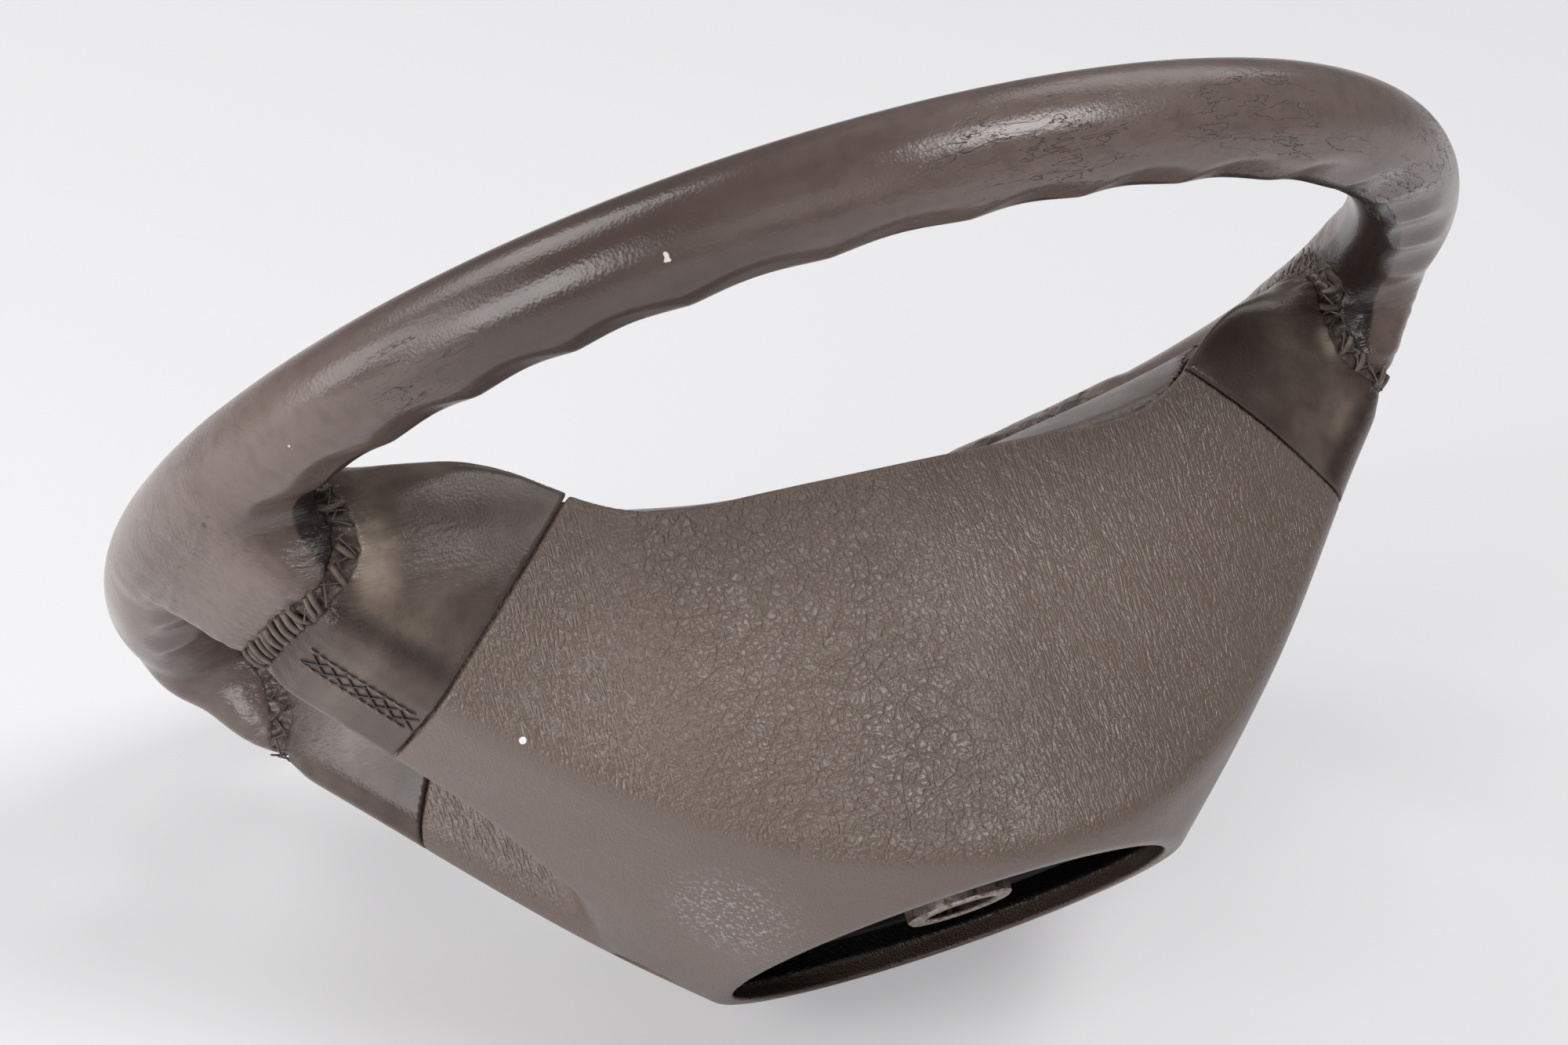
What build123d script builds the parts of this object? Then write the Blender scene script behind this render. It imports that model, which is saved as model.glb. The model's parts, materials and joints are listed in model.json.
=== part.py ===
"""Car steering wheel: leather-wrapped rim, four sleeved spokes, deep moulded hub and a sprung horn pad.

Millimetres. Z is the column axis and points to the driver, Y points to 12 o'clock, X to the driver's right.
The origin is on the axis at the rear mouth of the steel boss.
"""

import math
import os

from build123d import *

# Rim
RIM_R = 185.0
RIM_Z = 150.0
TUBE_R = 15.4
LEATHER_T = 1.4
RING_R = 5.5
RIM_CORE_H = 14.0

# Rear cone of the moulding: height, radius, offset of the centre towards 12 o'clock
REAR_CONE = (
    (-2.0, 68.5, -9.6),
    (18.0, 90.3, -8.2),
    (50.0, 121.5, -5.6),
    (90.0, 158.0, -2.6),
    (130.0, 192.6, 0.0),
)
CONE_LEAN = 1.37
TAIL_R = 198.3
TAIL_Z = 142.3

# Front dish: radius, height
FRONT_DISH = (
    (86.0, 114.0),
    (93.5, 115.6),
    (100.0, 118.4),
    (107.0, 122.5),
    (114.0, 128.0),
    (121.0, 134.0),
    (131.0, 140.0),
    (144.0, 145.5),
    (158.0, 152.5),
    (171.0, 160.5),
    (180.0, 163.5),
)
DISH_BASE_Z = -10.0
DISH_REACH = 215.0
RIM_SLOPE = (-1.0, -0.15)
FLAT_SLOPE = (-1.0, 0.0)

# Wall on the 12 o'clock side: height, distance from the axis, curvature, half width of the curve
TOP_WALL = (
    (175.0, 54.0, 0.0004, 205.0),
    (143.0, 54.5, 0.0005, 205.0),
    (117.0, 56.5, 0.0008, 200.0),
    (82.0, 58.8, 0.0020, 165.0),
    (50.0, 60.6, 0.0030, 130.0),
    (20.0, 62.0, 0.0047, 98.0),
    (-6.0, 63.0, 0.0065, 80.0),
)
WALL_SIDE_X = 230.0
WALL_SIDE_DROP = 10.0
WALL_FOOT_Y = -280.0

# Gaps between the spokes, outlined behind the hub and in front of the rim
CUT_REAR_Z = -20.0
CUT_FRONT_Z = 180.0
SIDE_REAR = ((240.0, 18.0), (134.0, 8.0), (106.0, -9.0), (89.0, -46.0), (240.0, -177.0))
SIDE_FRONT = ((240.0, -10.0), (124.0, -15.0), (97.0, -25.0), (91.0, -33.0), (240.0, -149.0))
SIDE_REAR_FILLETS = (0.0, 40.0, 22.0, 7.0, 0.0)
SIDE_FRONT_FILLETS = (0.0, 22.0, 5.0, 4.0, 0.0)
FOOT_REAR = ((-200.0, -172.0), (-66.0, -86.0), (66.0, -86.0), (200.0, -172.0))
FOOT_FRONT = ((-200.0, -196.0), (-53.0, -66.0), (53.0, -66.0), (200.0, -196.0))
FOOT_END = ((200.0, -300.0), (-200.0, -300.0))
FOOT_FILLETS = (0.0, 18.0, 18.0, 0.0, 0.0, 0.0)

# Grooves where the sleeves seat against the moulding, and the sewn seams at the rim
UPPER_RUN = Vector(0.669, 0.0, 0.743)
LOWER_RUN = Vector(0.505, -0.439, 0.743)
UPPER_GROOVE = Vector(0.69, 0.0, 0.724)
LOWER_GROOVE = Vector(0.649, -0.564, 0.51)
UPPER_GROOVE_AT = 49.2
LOWER_GROOVE_AT = 75.4
GROOVE_W = 1.2
SLEEVE_TUCK = 3.0
SEAM_GAP = 0.5
RIM_LAP_R = 18.4
UPPER_SEAM = (182.0, 130.0, 18.6)
LOWER_SEAM = (193.0, 124.0, 27.0)
REAR_RIDGE_R = 8.0
UPPER_CREST_R = 4.5
UPPER_GAP_R = 5.5
LOWER_CREST_R = 7.0
HUB_RIDGE_R = 9.0
HUB_SIDE_R = 6.0
CREST_Y = 18.0
RIDGE_SLOPE = 0.8
SECTOR_REACH = 320.0
SECTOR_SPLIT_Y = -92.0
SECTOR_FOOT_Y = -400.0
SECTOR_Z = -20.0
SECTOR_H = 220.0
PLANE_SPAN = 700.0
PLANE_DEPTH = 400.0

# Hub shell, rear carrier and boss
SHELL_T = 4.0
FRONT_T = 3.0
UPPER_ROOT_T = 14.0
LOWER_ROOT_T = 18.0
BOSS_R = 15.2
BOSS_L = 72.0
BOSS_RECESS_R = 10.0
BOSS_RECESS_L = 22.0
BORE_R = 8.5
PLATE_R = 48.0
PLATE_Z = 60.0
PLATE_T = 8.0
ARM_W = 16.0
ARM_T = 9.0
UPPER_ARM = ((34.0, 20.0, 64.0), (183.0, 22.0, 148.0))
LOWER_ARM = ((30.0, -26.0, 64.0), (147.0, -109.0, 148.0))
CARRIER_R = 56.0
CARRIER_Y = -4.0
CARRIER_Z = 9.0
CARRIER_FLANGE = 5.0
CARRIER_FLANGE_T = 2.0
CARRIER_FLOOR_Z = 40.0
CARRIER_T = 2.5
CARRIER_POST_R = 3.5
CARRIER_POST_AT = 36.0
BOSS_CLEARANCE = 1.5
CONTACT_IN_R = 27.0
CONTACT_OUT_R = 33.0
CONTACT_T = 1.4

# Horn pad, its plate, fixings and springs
PAD_GAP = 1.8
PAD_FLOOR_Z = 116.2
PAD_T = 3.0
PAD_NEAR_Y = 40.0
PAD_MIDDLE_Y = -10.0
PAD_FAR_Y = -60.0
PAD_ROOT_Z = 90.0
PAD_TOP_Z = 175.0
PAD_CORNER_R = 5.0
PAD_HOLLOW_R = 3.0
PAD_SKIRT = 5.0
PAD_CROWN = (
    (0.0, 125.0, 117.4),
    (50.0, 127.4, 117.6),
    (66.0, 130.6, 118.6),
    (93.5, 136.0, 122.2),
    (113.0, 140.2, 126.6),
    (137.0, 146.2, 135.0),
    (152.0, 151.0, 142.5),
)
PAD_OUTLINE = (
    (84.0, 39.0),
    (126.0, 34.0),
    (142.0, 24.0),
    (145.0, 8.0),
    (138.0, -2.0),
    (119.0, -8.0),
    (95.0, -17.0),
    (86.0, -30.0),
    (84.0, -40.0),
    (66.0, -53.0),
    (50.0, -58.0),
)
POST_R = 4.0
POST_L = 30.0
POST_AT = ((52.0, 22.0), (52.0, -32.0))
POST_COVER = 1.0
PLATE_OUTLINE = ((70.0, 40.0), (80.0, -28.0), (87.0, -44.0), (76.0, -55.0), (50.0, -48.0))
PAD_PLATE_Z = 111.0
PAD_PLATE_T = 1.5
PLATE_ROOM = 2.0
PLATE_CORNER_R = 5.0
POCKET_CORNER_R = 3.0
POCKET_DEPTH = 3.0
POCKET_H = 33.0
SCREW_AT = (76.6, -44.3)
PIN_AT = (62.0, 28.0)
EAR_Z = 84.0
EAR_T = 4.0
EAR_R = 11.0
EAR_WEB = (12.0, 18.0, 9.0)
SCREW_WEB_Y = -9.0
PIN_WEB_Y = -5.0
SHANK_R = 3.0
SHANK_ROOM = 0.5
HEAD_R = 5.5
HEAD_L = 4.5
HEAD_GAP = 0.1
SOCKET_R = 2.6
ACCESS_R = 6.5
SPRING_WELL_R = 9.0
SPRING_R = 6.4
SPRING_PLAY = 0.1
WIRE_R = 0.8
SPRING_PITCH = 5.2
CUT_L = 60.0


def rear_cone(inset):
    """Solid behind the dish: the oblique rear cone, its tail under the rim and a core to the rim plane."""
    rings = []
    for z, r, y in REAR_CONE:
        rings.append((Pos(0, y, z) * Rot(0, 0, 90) * Circle(r - inset * CONE_LEAN)).faces()[0])
    z_top, r_top, _ = REAR_CONE[-1]
    r_top -= inset * CONE_LEAN
    tail = Pos(0, 0, (z_top + TAIL_Z) / 2) * Cone(r_top, TAIL_R - inset, TAIL_Z - z_top)
    turn = Pos(0, 0, (TAIL_Z + RIM_Z) / 2) * Cone(TAIL_R - inset, RIM_R, RIM_Z - TAIL_Z)
    top = Pos(0, 0, RIM_Z + RIM_CORE_H / 2) * Cylinder(RIM_R, RIM_CORE_H)
    return loft(sections=rings) + tail + turn + top


def front_dish(inset):
    """Everything behind the dished front face."""
    points = [(r, z - inset) for r, z in FRONT_DISH]
    with BuildPart() as body:
        with BuildSketch(Plane.XZ):
            with BuildLine():
                base = Line((0, DISH_BASE_Z), (DISH_REACH, DISH_BASE_Z))
                side = Line(base @ 1, (DISH_REACH, points[-1][1]))
                Line(side @ 1, points[-1])
                dish = Spline(points[::-1], tangents=[RIM_SLOPE, FLAT_SLOPE])
                flat = Line(dish @ 1, (0, points[0][1]))
                Line(flat @ 1, (0, DISH_BASE_Z))
            make_face()
        revolve(axis=Axis.Z)
    return body.part


def top_wall(inset):
    """Everything below the bowed wall that faces 12 o'clock."""
    faces = []
    for z, y, curve, half in TOP_WALL:
        y_mid = y - inset
        y_end = y_mid - curve * half * half / 2
        with BuildSketch(Plane.XY.offset(z)) as outline:
            with BuildLine():
                ThreePointArc((-half, y_end), (0, y_mid), (half, y_end))
                y_side = y_end - WALL_SIDE_DROP
                Polyline((half, y_end), (WALL_SIDE_X, y_side), (WALL_SIDE_X, WALL_FOOT_Y))
                Line((WALL_SIDE_X, WALL_FOOT_Y), (-WALL_SIDE_X, WALL_FOOT_Y))
                Polyline((-WALL_SIDE_X, WALL_FOOT_Y), (-WALL_SIDE_X, y_side), (-half, y_end))
            make_face()
        faces.append(outline.sketch.faces()[0])
    return loft(sections=faces)


def cut_outline(points, fillets, z, grow):
    """One outline of a gap at height z."""
    with BuildSketch(Plane.XY.offset(z)) as outline:
        with BuildLine():
            Polyline(*points, close=True)
        make_face()
        if grow:
            offset(amount=grow, kind=Kind.INTERSECTION)
        for (x, y), radius in zip(points, fillets):
            if radius:
                corner = min(outline.vertices(), key=lambda v: math.hypot(v.X - x, v.Y - y))
                fillet(corner, radius)
    return outline.sketch.faces()[0]


def side_gap(grow):
    """Gap between an upper and a lower spoke on the driver's right."""
    rear = cut_outline(SIDE_REAR, SIDE_REAR_FILLETS, CUT_REAR_Z, grow)
    front = cut_outline(SIDE_FRONT, SIDE_FRONT_FILLETS, CUT_FRONT_Z, grow)
    return loft(sections=[rear, front], ruled=True)


def foot_gap(grow):
    """Gap between the two lower spokes."""
    rear = cut_outline(FOOT_REAR + FOOT_END, FOOT_FILLETS, CUT_REAR_Z, grow)
    front = cut_outline(FOOT_FRONT + FOOT_END, FOOT_FILLETS, CUT_FRONT_Z, grow)
    return loft(sections=[rear, front], ruled=True)


def hub_form(inset, front_inset):
    """Hub and four spokes, with every outer face moved in by the inset."""
    side = side_gap(inset)
    body = rear_cone(inset) & front_dish(front_inset) & top_wall(inset)
    return body - side - side.mirror(Plane.YZ) - foot_gap(inset)


def wedge(points):
    """Upright sector of the wheel."""
    with BuildPart() as body:
        with BuildSketch(Plane.XY.offset(SECTOR_Z)):
            Polygon(*points, align=None)
        extrude(amount=SECTOR_H)
    return body.part


SPLIT = (SECTOR_REACH, SECTOR_SPLIT_Y)
UPPER_SECTOR = wedge(((0, 0), SPLIT, (SECTOR_REACH, SECTOR_REACH), (0, SECTOR_REACH)))
LOWER_SECTOR = wedge(((0, 0), SPLIT, (SECTOR_REACH, SECTOR_FOOT_Y), (0, SECTOR_FOOT_Y)))


def beyond(sector, normal, distance):
    """The part of a sector outside a groove plane."""
    n = normal.normalized()
    plane = Plane(origin=Vector(0, 0, RIM_Z) + n * distance, z_dir=n)
    outside = Box(PLANE_SPAN, PLANE_SPAN, PLANE_DEPTH, align=(Align.CENTER, Align.CENTER, Align.MIN))
    return sector & (plane * outside)


def both_sides(shape):
    """A right-hand shape and its mirror image, fused."""
    return shape + shape.mirror(Plane.YZ)


def run_edges(solid, run):
    """Edges along a spoke, as the rear ridges, the crests facing 12 o'clock and the other front crests."""
    direction = run.normalized()
    rear, crest, front = [], [], []
    for edge in solid.edges():
        chord = edge.position_at(1) - edge.position_at(0)
        if chord.length < 8 or abs(chord.normalized().dot(direction)) < 0.9:
            continue
        middle = (edge.position_at(0) + edge.position_at(1)) * 0.5
        if middle.Z < RIDGE_SLOPE * math.hypot(middle.X, middle.Y):
            rear.append(edge)
        elif middle.Y > CREST_Y:
            crest.append(edge)
        else:
            front.append(edge)
    return rear, crest, front


def spoke(form, sector, normal, distance, run, radii):
    """One rounded spoke, from its groove plane out to the rim."""
    blank = form & beyond(sector, normal, distance)
    blank = max(blank.solids(), key=lambda s: s.volume)
    for group, radius in enumerate(radii):
        edges = run_edges(blank, run)[group]
        if edges:
            blank = blank.fillet(radius, edges)
    return blank


def cone_ridge(solid, low_y, high_y):
    """Edges of the rear cone face whose middle lies between two heights of Y."""
    faces = [f for f in solid.faces() if f.geom_type == GeomType.BSPLINE and f.center().Y < 20]
    cone = max(faces, key=lambda f: f.area)
    chosen = []
    for edge in cone.edges():
        middle = edge.position_at(0.5)
        start = edge.position_at(0)
        end = edge.position_at(1)
        on_groove = abs(start.Y - end.Y) > 30 and abs(middle.X) > 100
        off_mouth = min(start.Z, middle.Z, end.Z) > REAR_CONE[0][0] + 0.1
        if low_y < middle.Y < high_y and off_mouth and not on_groove:
            chosen.append(edge)
    return chosen


def turned(radius, length, x, y, z):
    """Upright cylinder standing at a point."""
    return Pos(x, y, z) * Cylinder(radius, length, align=(Align.CENTER, Align.CENTER, Align.MIN))


def arm(start, end, width, depth):
    """Straight bar between two points."""
    a = Vector(*start)
    b = Vector(*end)
    n = (b - a).normalized()
    across = n.cross(Vector(0, 0, 1)).normalized()
    plane = Plane(origin=a, x_dir=across, z_dir=n)
    return plane * Box(width, depth, (b - a).length, align=(Align.CENTER, Align.CENTER, Align.MIN))


def ear(x, y, drop):
    """Screw ear with its web down to a spoke arm."""
    disc = turned(EAR_R, EAR_T, x, y, EAR_Z)
    web = Pos(x, y + drop, EAR_Z + EAR_T / 2) * Box(*EAR_WEB)
    return disc + web - turned(SHANK_R + SHANK_ROOM, CUT_L, x, y, EAR_Z - CUT_L / 2)


def spring(x, y):
    """Compression spring around a fixing."""
    length = PAD_PLATE_Z - EAR_Z - EAR_T - 2 * WIRE_R - 2 * SPRING_PLAY
    path = Helix(SPRING_PITCH, length, SPRING_R)
    start = Plane(origin=path @ 0, z_dir=path % 0)
    coil = sweep(start * Rectangle(2 * WIRE_R, 2 * WIRE_R), path=path, is_frenet=True)
    return Pos(x, y, EAR_Z + EAR_T + WIRE_R + SPRING_PLAY) * coil


def fixing(x, y):
    """Shouldered fixing that holds the pad plate against its spring."""
    seat_z = EAR_Z - HEAD_GAP
    head = turned(HEAD_R, HEAD_L, x, y, seat_z - HEAD_L)
    socket = Pos(x, y, seat_z - HEAD_L) * extrude(RegularPolygon(SOCKET_R, 6), amount=SOCKET_R)
    shank = turned(SHANK_R, PAD_PLATE_Z + PAD_PLATE_T - seat_z, x, y, seat_z)
    return head - socket + shank


def pad_blank(drop):
    """Crowned pad, before it is trimmed to its outline."""
    faces = []
    stations = [(-x, mid, end) for x, mid, end in PAD_CROWN[:0:-1]] + list(PAD_CROWN)
    for x, mid, end in stations:
        with BuildSketch(Plane.YZ.offset(x)) as outline:
            with BuildLine():
                near = (PAD_NEAR_Y, end - drop)
                far = (PAD_FAR_Y, end - drop)
                ThreePointArc(far, (PAD_MIDDLE_Y, mid - drop), near)
                Polyline(near, (PAD_NEAR_Y, PAD_ROOT_Z), (PAD_FAR_Y, PAD_ROOT_Z), far)
            make_face()
        faces.append(outline.sketch.faces()[0])
    return loft(sections=faces)


def outline_prism(points, shrink, z0, z1, radius):
    """Upright prism on a mirrored outline."""
    loop = list(points) + [(-x, y) for x, y in points[::-1]]
    with BuildPart() as body:
        with BuildSketch(Plane.XY.offset(z0)) as outline:
            with BuildLine():
                Polyline(*loop, close=True)
            make_face()
            if shrink:
                offset(amount=-shrink, kind=Kind.INTERSECTION)
            fillet(outline.vertices(), radius)
        extrude(amount=z1 - z0)
    return body.part


def seam_body(seam, clearance):
    """Inside of the sewn seam round the roots of the spokes, as the rim's lap and the ring behind it."""
    radius, height, reach = seam
    lap = Pos(0, 0, RIM_Z) * Torus(RIM_R, RIM_LAP_R + clearance)
    return lap + Pos(0, 0, height) * Torus(radius, reach + clearance)


def contact_parts():
    """Black skirt round the rear mouth, the carrier that closes it and the horn's contact ring."""
    inner_r = CARRIER_R - CARRIER_T
    skirt = turned(CARRIER_R, CARRIER_FLOOR_Z - CARRIER_Z, 0, CARRIER_Y, CARRIER_Z)
    skirt += turned(CARRIER_R + CARRIER_FLANGE, CARRIER_FLANGE_T, 0, CARRIER_Y, CARRIER_Z)
    skirt -= turned(inner_r, CUT_L, 0, CARRIER_Y, 0)
    carrier = turned(CARRIER_R, CARRIER_T, 0, CARRIER_Y, CARRIER_FLOOR_Z)
    post_z = CARRIER_FLOOR_Z + CARRIER_T
    for angle in (45, 135, 225, 315):
        x = CARRIER_POST_AT * math.cos(math.radians(angle))
        y = CARRIER_POST_AT * math.sin(math.radians(angle))
        carrier += turned(CARRIER_POST_R, PLATE_Z - post_z, x, y, post_z)
    carrier -= turned(BOSS_R + BOSS_CLEARANCE, CUT_L, 0, 0, CARRIER_Z)
    contact = turned(CONTACT_OUT_R, CONTACT_T, 0, 0, CARRIER_FLOOR_Z - CONTACT_T)
    contact -= turned(CONTACT_IN_R, CUT_L, 0, 0, 0)
    return skirt, carrier, contact


def spoke_frame(ring):
    """Cast frame from the boss to the rim ring, with the ears of the horn pad."""
    frame = turned(PLATE_R, PLATE_T, 0, 0, PLATE_Z)
    frame += both_sides(arm(*UPPER_ARM, ARM_W, ARM_T))
    frame += both_sides(arm(*LOWER_ARM, ARM_W, ARM_T))
    frame += both_sides(ear(*SCREW_AT, SCREW_WEB_Y))
    frame += both_sides(ear(*PIN_AT, PIN_WEB_Y))
    frame -= turned(BOSS_R, CUT_L, 0, 0, PLATE_Z - CUT_L / 2)
    frame -= ring
    for x, y in (SCREW_AT, PIN_AT):
        frame -= both_sides(turned(SHANK_R + SHANK_ROOM, CUT_L, x, y, PLATE_Z))
        frame -= both_sides(turned(EAR_R, EAR_Z - PLATE_Z + PLATE_T, x, y, PLATE_Z - PLATE_T))
        frame -= both_sides(turned(EAR_R, PAD_PLATE_Z - EAR_Z - EAR_T, x, y, EAR_Z + EAR_T))
    return frame


def horn_pad(outer):
    """Crowned pad over the hub and the fronts of the upper spokes, hollow, with posts to its plate."""
    raised = Pos(0, 0, PAD_GAP) * outer
    pad = pad_blank(0) & outline_prism(PAD_OUTLINE, 0, PAD_FLOOR_Z, PAD_TOP_Z, PAD_CORNER_R)
    pad = max((pad - raised).solids(), key=lambda s: s.volume)
    hollow = outline_prism(PAD_OUTLINE, PAD_SKIRT, PAD_FLOOR_Z - PAD_SKIRT, PAD_TOP_Z, PAD_HOLLOW_R)
    pad -= pad_blank(PAD_T) & hollow
    posts = [turned(POST_R, POST_L, x, y, PAD_PLATE_Z + PAD_PLATE_T) for x, y in POST_AT]
    return pad + (both_sides(posts[0] + posts[1]) & pad_blank(POST_COVER))


def build():
    """Return every piece by node name."""
    outer = hub_form(0, 0)
    inner = hub_form(LEATHER_T, LEATHER_T)
    half = GROOVE_W / 2
    upper_radii = (REAR_RIDGE_R, UPPER_CREST_R, UPPER_GAP_R)
    lower_radii = (REAR_RIDGE_R, UPPER_CREST_R, LOWER_CREST_R)
    upper_core_radii = [r - LEATHER_T for r in upper_radii]
    lower_core_radii = [r - LEATHER_T for r in lower_radii]
    upper_tuck = UPPER_GROOVE_AT - SLEEVE_TUCK
    lower_tuck = LOWER_GROOVE_AT - SLEEVE_TUCK

    upper = spoke(outer, UPPER_SECTOR, UPPER_GROOVE, UPPER_GROOVE_AT + half, UPPER_RUN, upper_radii)
    lower = spoke(outer, LOWER_SECTOR, LOWER_GROOVE, LOWER_GROOVE_AT + half, LOWER_RUN, lower_radii)
    upper_core = spoke(inner, UPPER_SECTOR, UPPER_GROOVE, upper_tuck, UPPER_RUN, upper_core_radii)
    lower_core = spoke(inner, LOWER_SECTOR, LOWER_GROOVE, lower_tuck, LOWER_RUN, lower_core_radii)
    cores = both_sides(upper_core) + both_sides(lower_core)

    hub = outer
    hub -= both_sides(beyond(UPPER_SECTOR, UPPER_GROOVE, UPPER_GROOVE_AT - half))
    hub -= both_sides(beyond(LOWER_SECTOR, LOWER_GROOVE, LOWER_GROOVE_AT - half))
    hub = max(hub.solids(), key=lambda s: s.volume)
    hub = hub.fillet(HUB_RIDGE_R, cone_ridge(hub, 30, 90))
    hub = hub.fillet(HUB_SIDE_R, cone_ridge(hub, -150, 12))

    hollow = hub_form(SHELL_T, FRONT_T)
    hollow -= both_sides(beyond(UPPER_SECTOR, UPPER_GROOVE, UPPER_GROOVE_AT - UPPER_ROOT_T))
    hollow -= both_sides(beyond(LOWER_SECTOR, LOWER_GROOVE, LOWER_GROOVE_AT - LOWER_ROOT_T))

    tube = Pos(0, 0, RIM_Z) * Torus(RIM_R, TUBE_R)
    tube_core = Pos(0, 0, RIM_Z) * Torus(RIM_R, TUBE_R - LEATHER_T)
    ring = Pos(0, 0, RIM_Z) * Torus(RIM_R, RING_R)

    boss = turned(BOSS_R, BOSS_L, 0, 0, 0)
    boss -= turned(BOSS_RECESS_R, BOSS_RECESS_L, 0, 0, 0)
    boss -= turned(BORE_R, BOSS_L, 0, 0, 0)
    frame = spoke_frame(ring)

    pocket_z = PAD_PLATE_Z - POCKET_DEPTH
    body = hub + cores + tube_core - hollow
    body -= both_sides(turned(ACCESS_R, EAR_Z, *SCREW_AT, DISH_BASE_Z))
    body -= both_sides(turned(SPRING_WELL_R, CUT_L, *SCREW_AT, EAR_Z + EAR_T))
    body -= outline_prism(PLATE_OUTLINE, -PLATE_ROOM, pocket_z, pocket_z + POCKET_H, POCKET_CORNER_R)
    body -= frame
    body -= ring

    slack = SEAM_GAP / 2
    stubs = both_sides(upper & seam_body(UPPER_SEAM, -slack))
    stubs += both_sides(lower & seam_body(LOWER_SEAM, -slack))
    rim_leather = tube + stubs - cores - tube_core
    upper_sleeve = upper - upper_core - seam_body(UPPER_SEAM, slack)
    lower_sleeve = lower - lower_core - seam_body(LOWER_SEAM, slack)

    skirt, carrier, contact = contact_parts()
    pad = horn_pad(outer)
    plate = outline_prism(PLATE_OUTLINE, 0, PAD_PLATE_Z, PAD_PLATE_Z + PAD_PLATE_T, PLATE_CORNER_R)
    for x, y in (SCREW_AT, PIN_AT):
        plate -= both_sides(turned(SHANK_R, CUT_L, x, y, PAD_PLATE_Z - CUT_L / 2))

    screw = fixing(*SCREW_AT)
    pin = fixing(*PIN_AT)
    screw_spring = spring(*SCREW_AT)
    pin_spring = spring(*PIN_AT)

    nodes = {
        "hub_boss": boss,
        "spoke_frame": frame,
        "rim_ring": ring,
        "moulded_body": body,
        "rim_leather": rim_leather,
        "carrier_skirt": skirt,
        "contact_carrier": carrier,
        "contact_ring": contact,
        "horn_pad": pad,
        "pad_plate": plate,
    }
    for name, shape in (
        ("upper_sleeve", upper_sleeve),
        ("lower_sleeve", lower_sleeve),
        ("pad_screw", screw),
        ("pad_pin", pin),
        ("screw_spring", screw_spring),
        ("pin_spring", pin_spring),
    ):
        nodes[name + "_right"] = shape
        nodes[name + "_left"] = shape.mirror(Plane.YZ)
    return nodes


def main():
    """Write one STEP file per node."""
    os.makedirs("parts", exist_ok=True)
    for name, shape in build().items():
        export_step(shape, os.path.join("parts", name + ".step"))


if __name__ == "__main__":
    main()
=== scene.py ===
"""Studio scene of a worn, leather-wrapped car steering wheel, seen from its column side."""

from __future__ import annotations

import json
import logging
import math
from collections.abc import Callable, Sequence
from dataclasses import dataclass, field, replace
from enum import Enum

import bpy
import numpy as np
from mathutils import Matrix, Vector

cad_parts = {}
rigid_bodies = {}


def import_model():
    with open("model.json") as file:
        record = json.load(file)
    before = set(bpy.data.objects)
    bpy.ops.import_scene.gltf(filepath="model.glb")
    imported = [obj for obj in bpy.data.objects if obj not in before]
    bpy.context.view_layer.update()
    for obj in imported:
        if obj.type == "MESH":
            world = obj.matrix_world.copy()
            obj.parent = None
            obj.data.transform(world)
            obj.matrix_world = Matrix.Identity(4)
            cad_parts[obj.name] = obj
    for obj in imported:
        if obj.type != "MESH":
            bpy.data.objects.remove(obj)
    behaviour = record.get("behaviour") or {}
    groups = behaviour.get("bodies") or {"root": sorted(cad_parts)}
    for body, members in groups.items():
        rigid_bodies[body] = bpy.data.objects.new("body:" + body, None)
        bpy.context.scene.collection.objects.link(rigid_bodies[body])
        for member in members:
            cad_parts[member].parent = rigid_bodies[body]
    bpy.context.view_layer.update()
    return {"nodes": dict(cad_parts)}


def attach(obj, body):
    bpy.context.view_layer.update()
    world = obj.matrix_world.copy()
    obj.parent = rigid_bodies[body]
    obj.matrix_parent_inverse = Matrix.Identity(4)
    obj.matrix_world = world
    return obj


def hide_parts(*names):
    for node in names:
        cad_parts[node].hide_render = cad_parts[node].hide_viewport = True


LOG = logging.getLogger("steering_wheel")
MM = 0.001
Field = Callable[[np.ndarray, np.ndarray, np.ndarray], np.ndarray]
Socket = bpy.types.NodeSocket
Colour = tuple[float, float, float]
Place = tuple[float, float, float]
Spots = Sequence[tuple[Place, float]]


class Side(Enum):
    """Side of the wheel, as the driver sees it."""

    RIGHT = 1
    LEFT = -1


class Row(Enum):
    """Pair of spokes, as the driver sees them."""

    UPPER = "upper"
    LOWER = "lower"


def soft_max(a: np.ndarray, b: np.ndarray, width: float | np.ndarray) -> np.ndarray:
    """Larger of two distances, rounded where they meet.

    Args:
        a: First distance, in mm.
        b: Second distance, in mm.
        width: How far the rounding reaches, in mm.

    Returns:
        The rounded distance.
    """
    near = np.maximum(width - np.abs(a - b), 0.0)
    return np.maximum(a, b) + near * near / (4.0 * width)


def soft_min(a: np.ndarray, b: np.ndarray, width: float | np.ndarray) -> np.ndarray:
    """Smaller of two distances, filled where they meet.

    Args:
        a: First distance, in mm.
        b: Second distance, in mm.
        width: How far the fillet reaches, in mm.

    Returns:
        The filled distance.
    """
    return -soft_max(-a, -b, width)


def soft_step(value: np.ndarray, low: float, high: float) -> np.ndarray:
    """Smooth step from 0 to 1.

    Args:
        value: Where to read the step.
        low: Value at which the step starts.
        high: Value at which the step ends.

    Returns:
        The step's height.
    """
    t = np.clip((value - low) / (high - low), 0.0, 1.0)
    return t * t * (3.0 - 2.0 * t)


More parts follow.
